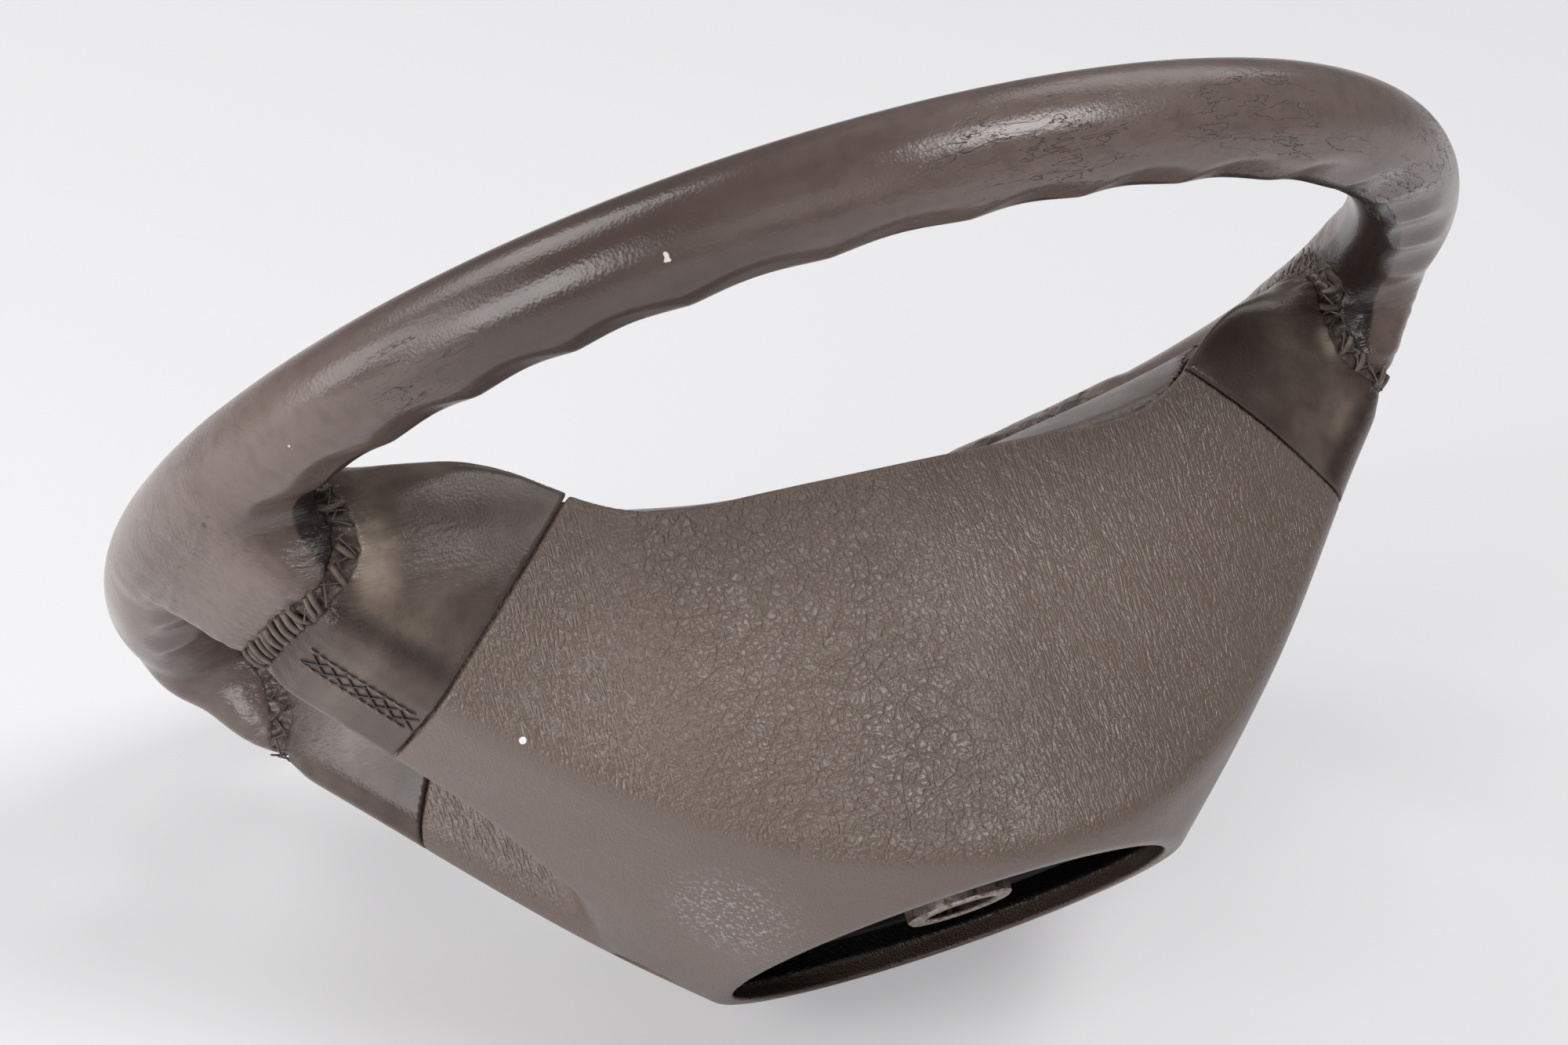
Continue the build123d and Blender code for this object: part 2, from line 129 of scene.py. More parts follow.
class SmoothTable:
    """Natural cubic curve through a few given points, read by a fine linear table."""

    def __init__(self, places: Sequence[float], values: Sequence[float]) -> None:
        """Fit the curve.

        Args:
            places: Rising places.
            values: Value at each place.
        """
        x = np.array(places, float)
        y = np.array(values, float)
        count = len(x)
        gaps = np.diff(x)
        system = np.eye(count)
        right = np.zeros(count)
        for i in range(1, count - 1):
            system[i, i - 1 : i + 2] = gaps[i - 1], 2.0 * (gaps[i - 1] + gaps[i]), gaps[i]
            right[i] = 6.0 * ((y[i + 1] - y[i]) / gaps[i] - (y[i] - y[i - 1]) / gaps[i - 1])
        bend = np.linalg.solve(system, right)
        self.fine = np.linspace(x[0], x[-1], 1500)
        k = np.clip(np.searchsorted(x, self.fine) - 1, 0, count - 2)
        h = gaps[k]
        a = (x[k + 1] - self.fine) / h
        b = 1.0 - a
        curve = (a**3 - a) * bend[k] + (b**3 - b) * bend[k + 1]
        self.read = a * y[k] + b * y[k + 1] + curve * h * h / 6.0

    def __call__(self, value: np.ndarray) -> np.ndarray:
        """Value of the curve, held at its ends."""
        return np.interp(value, self.fine, self.read)


@dataclass
class Wedge:
    """Straight-walled gap whose corners move from a rear outline to a front outline."""

    rear: Sequence[tuple[float, float]]
    front: Sequence[tuple[float, float]]
    rear_radii: Sequence[float]
    front_radii: Sequence[float]
    rear_z: float = -20.0
    front_z: float = 180.0

    def _rounding(self, corner: int, share: np.ndarray) -> np.ndarray:
        """Reach of the rounding at one corner, from its radius and the turn of its walls."""
        reach = []
        for points, radii in ((self.rear, self.rear_radii), (self.front, self.front_radii)):
            a, b, c = (np.array(points[corner + i]) for i in (-1, 0, 1))
            cosine = np.dot(b - a, c - b) / np.linalg.norm(b - a) / np.linalg.norm(c - b)
            half_turn = math.acos(float(np.clip(cosine, -1, 1))) / 2.0
            reach.append(max(4.0 * radii[corner] * (1.0 / math.cos(half_turn) - 1.0), 0.2))
        return reach[0] + (reach[1] - reach[0]) * share

    def distance(self, x: np.ndarray, y: np.ndarray, z: np.ndarray) -> np.ndarray:
        """Distance to the gap, negative inside it.

        Args:
            x: Distance from the wheel's middle plane, in mm.
            y: Height towards 12 o'clock, in mm.
            z: Height along the column axis, in mm.

        Returns:
            The distance, in mm.
        """
        share = np.clip((z - self.rear_z) / (self.front_z - self.rear_z), 0.0, 1.0)
        corners = []
        for (x0, y0), (x1, y1) in zip(self.rear, self.front):
            corners.append((x0 + (x1 - x0) * share, y0 + (y1 - y0) * share))
        result = None
        for i, ((ax, ay), (bx, by)) in enumerate(zip(corners, corners[1:])):
            length = np.hypot(bx - ax, by - ay)
            wall = ((by - ay) * (x - ax) - (bx - ax) * (y - ay)) / length
            if result is None:
                result = wall
            else:
                result = soft_max(result, wall, self._rounding(i, share))
        return result


@dataclass
class WheelForm:
    """The wheel's outer form as distances in mm, in the frame of the CAD part."""

    rim_r: float = 185.0
    rim_z: float = 150.0
    tube_r: float = 15.4
    grip_count: int = 40
    grip_base: float = 0.5
    grip_depth: float = 2.1
    grip_reach: float = 1.8
    grip_facing: tuple[float, float] = (-0.12, -0.993)
    grip_shift: tuple[float, float] = (240.0, 120.0)
    grip_shift_turn: tuple[tuple[float, float], ...] = ((0.0, 40.0), (65.0, 95.0))
    grip_soft: float = 0.01
    ridge_reach: float = 4.8
    lower_crest_reach: float = 11.0
    lip_reach: float = 1.8
    gap_reach: float = 8.0
    root_reach: float = 13.0
    groove_w: float = 0.8
    proud: float = 0.5
    lap_r: float = 18.4
    upper_seam: tuple[float, float, float] = (182.0, 130.0, 18.6)
    lower_seam: tuple[float, float, float] = (193.0, 124.0, 27.0)
    seam_blend: float = 3.0
    waist: float = 2.3
    waist_reach: float = 7.0
    pucker: float = 0.45
    pucker_count: int = 34
    upper_middle: tuple[float, float, float] = (162.0, 22.0, 135.0)
    lower_middle: tuple[float, float, float] = (140.0, -104.0, 125.0)
    lower_run: tuple[float, float] = (0.816, -0.579)
    sector_slope: float = -0.2875
    upper_groove: tuple[float, float, float] = (0.69, 0.0, 0.724)
    lower_groove: tuple[float, float, float] = (0.649, -0.564, 0.51)
    upper_groove_at: float = 49.2
    lower_groove_at: float = 75.4
    shell_t: float = 4.0
    mouth_z: float = -2.0
    cone_slope: float = 0.70
    dish_slope: float = 0.85
    wall_slope: float = 0.97
    side_gap: Wedge = field(init=False)
    foot_gap: Wedge = field(init=False)

    def __post_init__(self) -> None:
        """Fit the curves of the moulding."""
        cone_z = (-12.0, -2.0, 18.0, 50.0, 90.0, 130.0, 142.0, 152.0, 170.0)
        cone_r = (57.5, 68.5, 90.3, 121.5, 158.0, 190.5, 193.5, 188.0, 175.0)
        self.cone_r = SmoothTable(cone_z, cone_r)
        lean_z = (-12.0, -2.0, 18.0, 50.0, 90.0, 130.0, 170.0)
        self.cone_y = SmoothTable(lean_z, (-10.3, -9.6, -8.2, -5.6, -2.6, 0.0, 0.0))
        dish = (
            (60.0, 114.0),
            (76.0, 114.0),
            (86.0, 114.0),
            (93.5, 115.6),
            (100.0, 118.4),
            (107.0, 122.5),
            (114.0, 128.0),
            (121.0, 134.0),
            (131.0, 140.3),
            (144.0, 145.5),
            (158.0, 152.5),
            (171.0, 160.0),
            (180.0, 163.5),
            (200.0, 165.0),
        )
        self.dish = SmoothTable(*zip(*dish))
        crest_at = (20.0, 33.0, 40.0, 47.0, 52.0, 57.0, 62.0, 68.0, 78.0, 120.0)
        self.crest = SmoothTable(crest_at, (23.0, 20.0, 13.0, 8.0, 5.2, 3.9, 3.0, 2.2, 1.8, 1.8))
        wall_z = (-6.0, 20.0, 50.0, 82.0, 117.0, 143.0, 175.0)
        self.wall_y = SmoothTable(wall_z, (63.0, 62.0, 60.6, 58.8, 56.5, 54.5, 54.0))
        self.wall_bow = SmoothTable(wall_z, (0.0062, 0.0045, 0.0029, 0.0020, 0.0008, 0.0005, 0.0004))
        self.side_gap = Wedge(
            rear=((240, 18), (134, 8), (106, -9), (89, -46), (240, -177)),
            front=((240, -10), (124, -15), (97, -25), (91, -33), (240, -149)),
            rear_radii=(0, 40, 22, 7, 0),
            front_radii=(0, 22, 5, 4, 0),
        )
        self.foot_gap = Wedge(
            rear=((200, -172), (66, -86), (-200, -86)),
            front=((200, -196), (53, -66), (-200, -66)),
            rear_radii=(0, 18, 0),
            front_radii=(0, 18, 0),
        )

    def rim_distance(self, x: np.ndarray, y: np.ndarray, z: np.ndarray) -> np.ndarray:
        """Distance from the centre line of the rim."""
        return np.hypot(np.hypot(x, y) - self.rim_r, z - self.rim_z)

    def tube(self, x: np.ndarray, y: np.ndarray, z: np.ndarray) -> np.ndarray:
        """Distance to the rim, scalloped for the fingers on its rear side."""
        out = np.hypot(x, y) - self.rim_r
        up = z - self.rim_z
        turn = np.degrees(np.arctan2(np.abs(x), y))
        shift = np.zeros_like(turn)
        for amount, (first, last) in zip(self.grip_shift, self.grip_shift_turn):
            shift += amount * soft_step(turn, first, last)
        half = np.radians(self.grip_count * turn - shift) / 2.0
        scallop = np.sqrt(np.sin(half) ** 2 + self.grip_soft)
        grip = out * self.grip_facing[0] + up * self.grip_facing[1] - self.tube_r
        grip += self.grip_base + self.grip_depth * scallop
        return soft_max(np.hypot(out, up) - self.tube_r, grip, self.grip_reach)

    def groove(self, x: np.ndarray, y: np.ndarray, z: np.ndarray) -> np.ndarray:
        """Distance outwards from the grooves at the roots of the spokes."""
        side = np.abs(x)
        up = z - self.rim_z
        u = self.upper_groove
        w = self.lower_groove
        upper = side * u[0] + y * u[1] + up * u[2] - self.upper_groove_at
        lower = side * w[0] + y * w[1] + up * w[2] - self.lower_groove_at
        return np.where(y > self.sector_slope * side, upper, lower)

    def moulding(self, x: np.ndarray, y: np.ndarray, z: np.ndarray, inset: float = 0.0) -> np.ndarray:
        """Distance to the hub and spokes without their front face.

        Args:
            x: Place to the driver's right, in mm.
            y: Place towards 12 o'clock, in mm.
            z: Place along the column axis, in mm.
            inset: How far every wall is moved inwards, in mm.

        Returns:
            The distance, in mm.
        """
        side = np.abs(x)
        cone = (np.hypot(x, y - self.cone_y(z)) - self.cone_r(z)) * self.cone_slope + inset
        wall = (y - self.wall_y(z) + self.wall_bow(z) * x * x / 2.0) * self.wall_slope + inset
        body = soft_max(cone, wall, self.ridge_reach)
        gaps = np.minimum(self.side_gap.distance(side, y, z), self.foot_gap.distance(side, y, z))
        return soft_max(body, inset - gaps, self.gap_reach)

    def spokes(self, x: np.ndarray, y: np.ndarray, z: np.ndarray) -> np.ndarray:
        """Distance to the hub and spokes, closed by the dished front face."""
        groove = self.groove(x, y, z)
        rise = self.proud * soft_step(groove, -0.6, 0.6)
        front = (z - self.dish(np.hypot(x, y)) - rise) * self.dish_slope
        lower = self.lip_reach + (self.lower_crest_reach - self.lip_reach) * soft_step(groove, -14.0, 8.0)
        upper = self.crest(self.rim_distance(x, y, z))
        reach = np.where(y > self.sector_slope * np.abs(x), upper, lower)
        return soft_max(self.moulding(x, y, z), front, reach)

    def seam_ring(self, x: np.ndarray, y: np.ndarray, z: np.ndarray) -> np.ndarray:
        """Distance outwards from the rings behind the rim that the seams lie on."""
        out = np.hypot(x, y)
        upper = np.hypot(out - self.upper_seam[0], z - self.upper_seam[1]) - self.upper_seam[2]
        lower = np.hypot(out - self.lower_seam[0], z - self.lower_seam[1]) - self.lower_seam[2]
        return np.where(y > self.sector_slope * np.abs(x), upper, lower)

    def seam(
        self, x: np.ndarray, y: np.ndarray, z: np.ndarray, ring: float = 0.0, lap: float = 0.0
    ) -> np.ndarray:
        """Distance outwards from the sewn seams.

        Args:
            x: Place to the driver's right, in mm.
            y: Place towards 12 o'clock, in mm.
            z: Place along the column axis, in mm.
            ring: How far the ring behind the rim is widened, in mm.
            lap: How far the lap on the rim is widened, in mm.

        Returns:
            The distance, in mm.
        """
        behind = self.seam_ring(x, y, z) - ring
        return soft_min(behind, self.rim_distance(x, y, z) - self.lap_r - lap, self.seam_blend)

    def puckers(self, x: np.ndarray, y: np.ndarray, z: np.ndarray) -> np.ndarray:
        """Ripple of the drawn leather round the spokes, from -1 to 1."""
        side = np.abs(x)
        upper = y > self.sector_slope * side
        a, b = self.lower_run
        lower_across = (y - self.lower_middle[1]) * a - (side - self.lower_middle[0]) * b
        across = np.where(upper, y - self.upper_middle[1], lower_across)
        rise = z - np.where(upper, self.upper_middle[2], self.lower_middle[2])
        turn = np.arctan2(rise, across)
        return np.sin(self.pucker_count * turn + 0.9 * np.sin(5.0 * turn))

    def skin(self, x: np.ndarray, y: np.ndarray, z: np.ndarray) -> np.ndarray:
        """Distance to the whole wheel, with the spokes flowing into the rim and drawn in at the seams."""
        tube = self.tube(x, y, z)
        whole = soft_min(tube, self.spokes(x, y, z), self.root_reach)
        seam = self.seam(x, y, z)
        drawn = soft_step(tube, 0.3, 4.0) * np.exp(-((seam / self.waist_reach) ** 2))
        return whole + drawn * (self.waist + self.pucker * self.puckers(x, y, z))


def slope_of(shape: Field, points: np.ndarray, reach: float = 0.25) -> np.ndarray:
    """Slope of a field at some points.

    Args:
        shape: Distance field, in mm.
        points: Places, in mm, one row each.
        reach: Half the distance it is measured over, in mm.

    Returns:
        The slope, one row each.
    """
    slope = np.empty_like(points)
    for axis in range(3):
        step = np.zeros(3)
        step[axis] = reach
        slope[:, axis] = shape(*(points + step).T) - shape(*(points - step).T)
    return slope / (2.0 * reach)


def drawn_onto(shape: Field, points: np.ndarray, limit: float) -> np.ndarray:
    """Points moved along the slope of a field to its zero level.

    Args:
        shape: Distance field, in mm.
        points: Places, in mm, one row each.
        limit: Longest move, in mm.

    Returns:
        The moved points.
    """
    slope = slope_of(shape, points)
    size = np.maximum((slope * slope).sum(1), 0.05)
    move = np.clip(shape(*points.T) / size, -limit, limit)
    return points - slope * move[:, None]


def set_mark(mesh: bpy.types.Mesh, mark: str, value: Field) -> None:
    """Keep a field on the points of a mesh for its material.

    Args:
        mesh: The mesh, in metres.
        mark: Name of the attribute, which the mesh has already.
        value: The field, of places in mm.
    """
    flat = np.empty(len(mesh.vertices) * 3, np.float32)
    mesh.vertices.foreach_get("co", flat)
    points = flat.reshape(-1, 3).astype(float) / MM
    mesh.attributes[mark].data.foreach_set("value", value(*points.T).astype(np.float32))


class SurfaceNet:
    """Quad mesh on the zero level of a distance field."""

    def __init__(self, shape: Field, low: Sequence[float], high: Sequence[float], step: float) -> None:
        """Trace the field.

        Args:
            shape: Distance field, in mm.
            low: Lowest corner of the traced box, in mm.
            high: Highest corner of the traced box, in mm.
            step: Size of the quads, in mm.
        """
        self.shape = shape
        self.step = step
        axes = [np.arange(a, b + step, step) for a, b in zip(low, high)]
        grid = np.meshgrid(*axes, indexing="ij")
        inside = shape(*grid) < 0.0
        cells = self._mixed(inside)
        number = -np.ones(cells.shape, np.int64)
        found = np.argwhere(cells)
        number[cells] = np.arange(len(found))
        self.points = np.array(low, float) + (found + 0.5) * step
        self.quads = self._faces(inside, number)

    @staticmethod
    def _mixed(inside: np.ndarray) -> np.ndarray:
        """Cells that the surface passes through."""
        count = np.zeros(tuple(n - 1 for n in inside.shape), np.int8)
        for i in (0, 1):
            for j in (0, 1):
                for k in (0, 1):
                    nx, ny, nz = count.shape
                    count += inside[i : i + nx, j : j + ny, k : k + nz]
        return (count > 0) & (count < 8)

    @staticmethod
    def _faces(inside: np.ndarray, number: np.ndarray) -> np.ndarray:
        """Quads round each grid edge that the surface crosses."""
        quads = []
        for axis in range(3):
            b, c = (axis + 1) % 3, (axis + 2) % 3
            first = np.take(inside, range(inside.shape[axis] - 1), axis)
            second = np.take(inside, range(1, inside.shape[axis]), axis)
            at = np.argwhere(first != second)
            keep = (at[:, b] > 0) & (at[:, c] > 0)
            keep &= (at[:, b] < number.shape[b]) & (at[:, c] < number.shape[c])
            at = at[keep]
            ring = []
            for db, dc in ((-1, -1), (0, -1), (0, 0), (-1, 0)):
                cell = at.copy()
                cell[:, b] += db
                cell[:, c] += dc
                ring.append(number[tuple(cell.T)])
            ring = np.stack(ring, 1)
            leaving = first[tuple(at.T)]
            quads.append(np.where(leaving[:, None], ring, ring[:, ::-1]))
        return np.concatenate(quads)

    def settle(self, rounds: int = 3) -> "SurfaceNet":
        """Even out the quads and draw every point onto the surface.

        Args:
            rounds: Number of passes.

        Returns:
            The net itself.
        """
        pairs = np.concatenate([self.quads[:, [k, (k + 1) % 4]] for k in range(4)])
        count = np.maximum(np.bincount(pairs[:, 0], minlength=len(self.points)), 1)
        for turn in range(rounds):
            mean = np.empty_like(self.points)
            for axis in range(3):
                total = np.bincount(pairs[:, 0], self.points[pairs[:, 1], axis], len(self.points))
                mean[:, axis] = total / count
            self.points = mean
            for _ in range(3 if turn == rounds - 1 else 1):
                self.points = drawn_onto(self.shape, self.points, self.step)
        return self

    def build(self, name: str, marks: dict[str, Field] | None = None) -> bpy.types.Object:
        """Make the mesh in metres.

        Args:
            name: Name of the piece.
            marks: Fields to keep on the points for the materials, by name.

        Returns:
            The new object, linked to the scene.
        """
        mesh = bpy.data.meshes.new(name)
        mesh.vertices.add(len(self.points))
        mesh.vertices.foreach_set("co", (self.points * MM).astype(np.float32).ravel())
        mesh.loops.add(self.quads.size)
        mesh.loops.foreach_set("vertex_index", self.quads.ravel().astype(np.int32))
        mesh.polygons.add(len(self.quads))
        mesh.polygons.foreach_set("loop_start", np.arange(0, self.quads.size, 4, dtype=np.int32))
        mesh.polygons.foreach_set("use_smooth", np.ones(len(self.quads), bool))
        mesh.update(calc_edges=True)
        mesh.validate()
        for mark, value in (marks or {}).items():
            mesh.attributes.new(mark, "FLOAT", "POINT")
            set_mark(mesh, mark, value)
        obj = bpy.data.objects.new(name, mesh)
        bpy.context.scene.collection.objects.link(obj)
        return obj


def thin_out(obj: bpy.types.Object, triangles: int) -> None:
    """Leave out points where a surface is flattest.

    Args:
        obj: Piece made of quads.
        triangles: Number of triangles to come down to.
    """
    slim = obj.modifiers.new("slim", "DECIMATE")
    slim.ratio = min(1.0, triangles / (2.0 * len(obj.data.polygons)))
    graph = bpy.context.evaluated_depsgraph_get()
    shown = obj.evaluated_get(graph)
    mesh = bpy.data.meshes.new_from_object(shown, preserve_all_data_layers=True, depsgraph=graph)
    obj.modifiers.remove(slim)
    obj.data = mesh
    mesh.name = obj.name


def polygon_distance(points: Sequence[tuple[float, float]], x: np.ndarray, y: np.ndarray) -> np.ndarray:
    """Distance to a closed outline, negative inside it.

    Args:
        points: Corners of the outline, in mm.
        x: First coordinate, in mm.
        y: Second coordinate, in mm.

    Returns:
        The distance, in mm.
    """
    best = np.full(x.shape, 1e9)
    inside = np.zeros(x.shape, bool)
    for (ax, ay), (bx, by) in zip(points, list(points[1:]) + [points[0]]):
        ex, ey = bx - ax, by - ay
        t = np.clip(((x - ax) * ex + (y - ay) * ey) / (ex * ex + ey * ey), 0.0, 1.0)
        best = np.minimum(best, np.hypot(x - ax - t * ex, y - ay - t * ey))
        crosses = (ay > y) != (by > y)
        if ey:
            inside ^= crosses & (x < ax + ex * (y - ay) / ey)
    return np.where(inside, -best, best)


def mirrored(obj: bpy.types.Object, name: str) -> bpy.types.Object:
    """Mirror image of a piece in the wheel's middle plane.

    Args:
        obj: Piece on the driver's right.
        name: Name of the new piece.

    Returns:
        The piece on the driver's left.
    """
    mesh = obj.data.copy()
    mesh.name = name
    mesh.transform(Matrix.Scale(-1.0, 4, (1.0, 0.0, 0.0)))
    mesh.flip_normals()
    twin = bpy.data.objects.new(name, mesh)
    bpy.context.scene.collection.objects.link(twin)
    return twin


class Tree:
    """Small builder for a node tree."""

    def __init__(self, tree: bpy.types.NodeTree) -> None:
        """Start from an empty tree."""
        self.tree = tree
        self.tree.nodes.clear()

    def add(self, kind: str, props: dict | None = None, **inputs: object) -> bpy.types.Node:
        """Add a node.

        Args:
            kind: Blender's name of the node type.
            props: Properties of the node.
            inputs: Input sockets by name, with _ for a space, each a value or a socket to link.

        Returns:
            The new node.
        """
        node = self.tree.nodes.new(kind)
        for key, value in (props or {}).items():
            setattr(node, key, value)
        for key, value in inputs.items():
            self.feed(node, key.replace("_", " "), value)
        return node

    def feed(self, node: bpy.types.Node, key: str | int, value: object) -> None:
        """Set or link one input socket of a node."""
        socket = node.inputs[key]
        if isinstance(value, Socket):
            self.tree.links.new(value, socket)
        else:
            socket.default_value = value


class MaterialTree(Tree):
    """Builder for a procedural material on Object coordinates."""

    def __init__(self, name: str) -> None:
        """Start a material with one principled shader."""
        self.material = bpy.data.materials.new(name)
        self.material.use_nodes = True
        super().__init__(self.material.node_tree)
        self.shader = self.add("ShaderNodeBsdfPrincipled")
        self.output = self.add("ShaderNodeOutputMaterial", Surface=self.shader.outputs["BSDF"])
        self.place = self.add("ShaderNodeTexCoord").outputs["Object"]

    def mark(self, name: str) -> Socket:
        """Value kept on the points of the piece."""
        return self.add("ShaderNodeAttribute", {"attribute_name": name}).outputs["Fac"]

    def math(self, operation: str, a: object, b: object = 0.5) -> Socket:
        """One math node."""
        node = self.add("ShaderNodeMath", {"operation": operation})
        self.feed(node, 0, a)
        self.feed(node, 1, b)
        return node.outputs[0]

    def vector(self, operation: str, a: object, b: object = (0.0, 0.0, 0.0), scale: float = 1.0) -> Socket:
        """One vector math node."""
        node = self.add("ShaderNodeVectorMath", {"operation": operation})
        self.feed(node, 0, a)
        if operation == "SCALE":
            self.feed(node, "Scale", scale)
        else:
            self.feed(node, 1, b)
        return node.outputs["Value" if operation in ("DOT_PRODUCT", "LENGTH", "DISTANCE") else "Vector"]

    def noise(self, place: Socket, scale: float, detail: float = 3.0, rough: float = 0.55) -> Socket:
        """Noise from 0 to 1."""
        node = self.add("ShaderNodeTexNoise", Vector=place, Scale=scale, Detail=detail, Roughness=rough)
        return node.outputs["Factor"] if "Factor" in node.outputs else node.outputs["Fac"]

    def warped(self, place: Socket, scale: float, amount: float) -> Socket:
        """Place pushed about by noise, in metres."""
        node = self.add("ShaderNodeTexNoise", Vector=place, Scale=scale, Detail=2.0)
        push = self.vector("SUBTRACT", node.outputs["Color"], (0.5, 0.5, 0.5))
        return self.vector("ADD", place, self.vector("SCALE", push, scale=amount))

    def cell_middle(self, place: Socket, scale: float) -> Socket:
        """Distance to the middle of the nearest random cell."""
        node = self.add("ShaderNodeTexVoronoi", {"feature": "F1"}, Vector=place, Scale=scale)
        return node.outputs["Distance"]

    def cell_edge(self, place: Socket, scale: float) -> Socket:
        """Distance to the nearest edge between random cells."""
        node = self.add("ShaderNodeTexVoronoi", {"feature": "DISTANCE_TO_EDGE"}, Vector=place, Scale=scale)
        return node.outputs["Distance"]

    def ramp(self, value: object, low: float, high: float, start: float = 0.0, end: float = 1.0) -> Socket:
        """Smooth ramp of a value."""
        node = self.add("ShaderNodeMapRange", {"interpolation_type": "SMOOTHSTEP"})
        limits = {"Value": value, "From Min": low, "From Max": high, "To Min": start, "To Max": end}
        for key, item in limits.items():
            self.feed(node, key, item)
        return node.outputs["Result"]

    def mix(self, share: object, a: object, b: object) -> Socket:
        """Mix of two colours."""
        node = self.add("ShaderNodeMix", {"data_type": "RGBA"})
        self.feed(node, 0, share)
        for index, value in ((6, a), (7, b)):
            if not isinstance(value, Socket):
                value = (*value, 1.0)
            self.feed(node, index, value)
        return node.outputs[2]

    def bump(self, height: Socket, depth: float, under: Socket | None = None) -> Socket:
        """Bump of a given depth in metres, on top of another one."""
        node = self.add("ShaderNodeBump", Height=height, Distance=depth, Strength=1.0)
        if under is not None:
            self.feed(node, "Normal", under)
        return node.outputs["Normal"]


@dataclass(frozen=True)
class WornLeather:
    """Old dyed leather: mottled, polished by hands, with a cracked glaze, and with painted light and shade
    from its marks.
    """

    name: str
    dye: Colour = (0.054, 0.036, 0.031)
    # Tone of worn dye, also used for the painted light from the 'worn' mark.
    faded: Colour = (0.154, 0.113, 0.099)
    # Tone of the rim's dark underside and of the painted shade from the 'dye' mark.
    dark: Colour = (0.022, 0.015, 0.013)
    crack_tone: Colour = (0.028, 0.019, 0.016)
    fleck_tone: Colour = (0.60, 0.56, 0.49)
    fleck_edge: float = 0.0028
    pores: float = 1100.0
    rim_r: float = 0.185
    squeeze: float = 0.82
    crack_share: float = 1.0
    crack_spots: Spots = ()
    flecks: Spots = ()
    rough: tuple[float, float] = (0.19, 0.30)
    sheen: float = 0.5
    edge: tuple[float, float] = (0.60, 0.92)

    def _spots(self, t: MaterialTree, spots: Spots, core: float, ragged: float = 0.0) -> object:
        """Nearness of some places.

        Args:
            t: The material.
            spots: Centre and reach of each spot, in mm.
            core: Share of the reach that is covered in full.
            ragged: How far the edge is pushed about, in metres.

        Returns:
            1 at the places, 0 away from them.
        """
        result: object = 0.0
        place = t.warped(t.place, 420.0, ragged) if ragged else t.place
        for centre, reach in spots:
            away = t.vector("DISTANCE", place, tuple(c * MM for c in centre))
            result = t.math("MAXIMUM", result, t.ramp(away, reach * MM, reach * MM * core))
        return result

    def material(self) -> bpy.types.Material:
        """Build the material."""
        t = MaterialTree(self.name)
        flat = t.vector("NORMALIZE", t.vector("MULTIPLY", t.place, (1.0, 1.0, 0.0)))
        along = t.vector("SUBTRACT", t.place, t.vector("SCALE", flat, scale=self.rim_r * self.squeeze))
        # The 'worn' mark lightens towards faded: wear of the dye with painted light and shade round the rim,
        # and a painted highlight beside the upper seams on the sleeves.
        tone = t.math("ADD", t.noise(along, 34.0, 4.0), t.math("MULTIPLY", t.mark("worn"), 0.8))
        fine = t.noise(t.place, 210.0, 3.0)
        colour = t.mix(t.ramp(tone, 0.48, 1.25), self.dye, self.faded)
        colour = t.mix(t.ramp(fine, 0.40, 0.75, 0.0, 0.3), colour, self.dye)
        # The 'dye' mark darkens towards dark: on the rim the underside, dye not worn away with painted shade;
        # on the sleeves a painted shade band along the ridge.
        ragged = t.noise(t.place, 120.0, 4.0, 0.65)
        dark_dye_and_shade = t.ramp(t.math("ADD", t.mark("dye"), t.math("MULTIPLY", ragged, 0.45)), *self.edge)
        colour = t.mix(dark_dye_and_shade, colour, self.dark)
        near = self._spots(t, self.crack_spots, 0.2)
        patch = t.math("ADD", t.math("MULTIPLY", near, 0.30), t.noise(along, 75.0, 3.0))
        share = t.ramp(patch, 0.71, 0.84, 0.0, self.crack_share)
        bent = t.warped(along, 260.0, 0.0016)
        lines = t.math("ABSOLUTE", t.math("SUBTRACT", t.noise(bent, 150.0, 4.0, 0.6), 0.5))
        hairs = t.math("ABSOLUTE", t.math("SUBTRACT", t.noise(bent, 330.0, 3.0, 0.6), 0.5))
        crack = t.ramp(lines, 0.0, 0.0075, 1.0, 0.0)
        hair = t.math("MULTIPLY", t.ramp(hairs, 0.0, 0.007, 1.0, 0.0), 0.35)
        broken = t.math("MULTIPLY", t.math("MAXIMUM", crack, hair), share)
        colour = t.mix(t.math("MULTIPLY", broken, 0.75), colour, self.crack_tone)
        colour = t.mix(self._spots(t, self.flecks, 0.75, self.fleck_edge), colour, self.fleck_tone)
        t.feed(t.shader, "Base Color", colour)
        t.shader.inputs["Specular IOR Level"].default_value = self.sheen
        gloss = t.ramp(t.noise(t.place, 34.0, 4.0), 0.3, 0.7, *self.rough)
        gloss = t.math("SUBTRACT", gloss, t.math("MULTIPLY", t.mark("seam"), 0.14))
        t.feed(t.shader, "Roughness", t.math("ADD", gloss, t.math("MULTIPLY", broken, 0.3)))
        pores = t.cell_middle(t.place, self.pores)
        crease = t.noise(t.warped(t.place, 60.0, 0.010), 420.0, 3.0)
        pulled = t.vector("MULTIPLY", t.warped(t.place, 70.0, 0.006), (0.16, 1.0, 1.0))
        streak = t.math("MULTIPLY", t.noise(pulled, 700.0, 4.0), t.mark("seam"))
        normal = t.bump(pores, 0.00004)
        normal = t.bump(crease, 0.00004, normal)
        normal = t.bump(streak, 0.0012, normal)
        normal = t.bump(broken, -0.0003, normal)
        t.feed(t.shader, "Normal", normal)
        return t.material


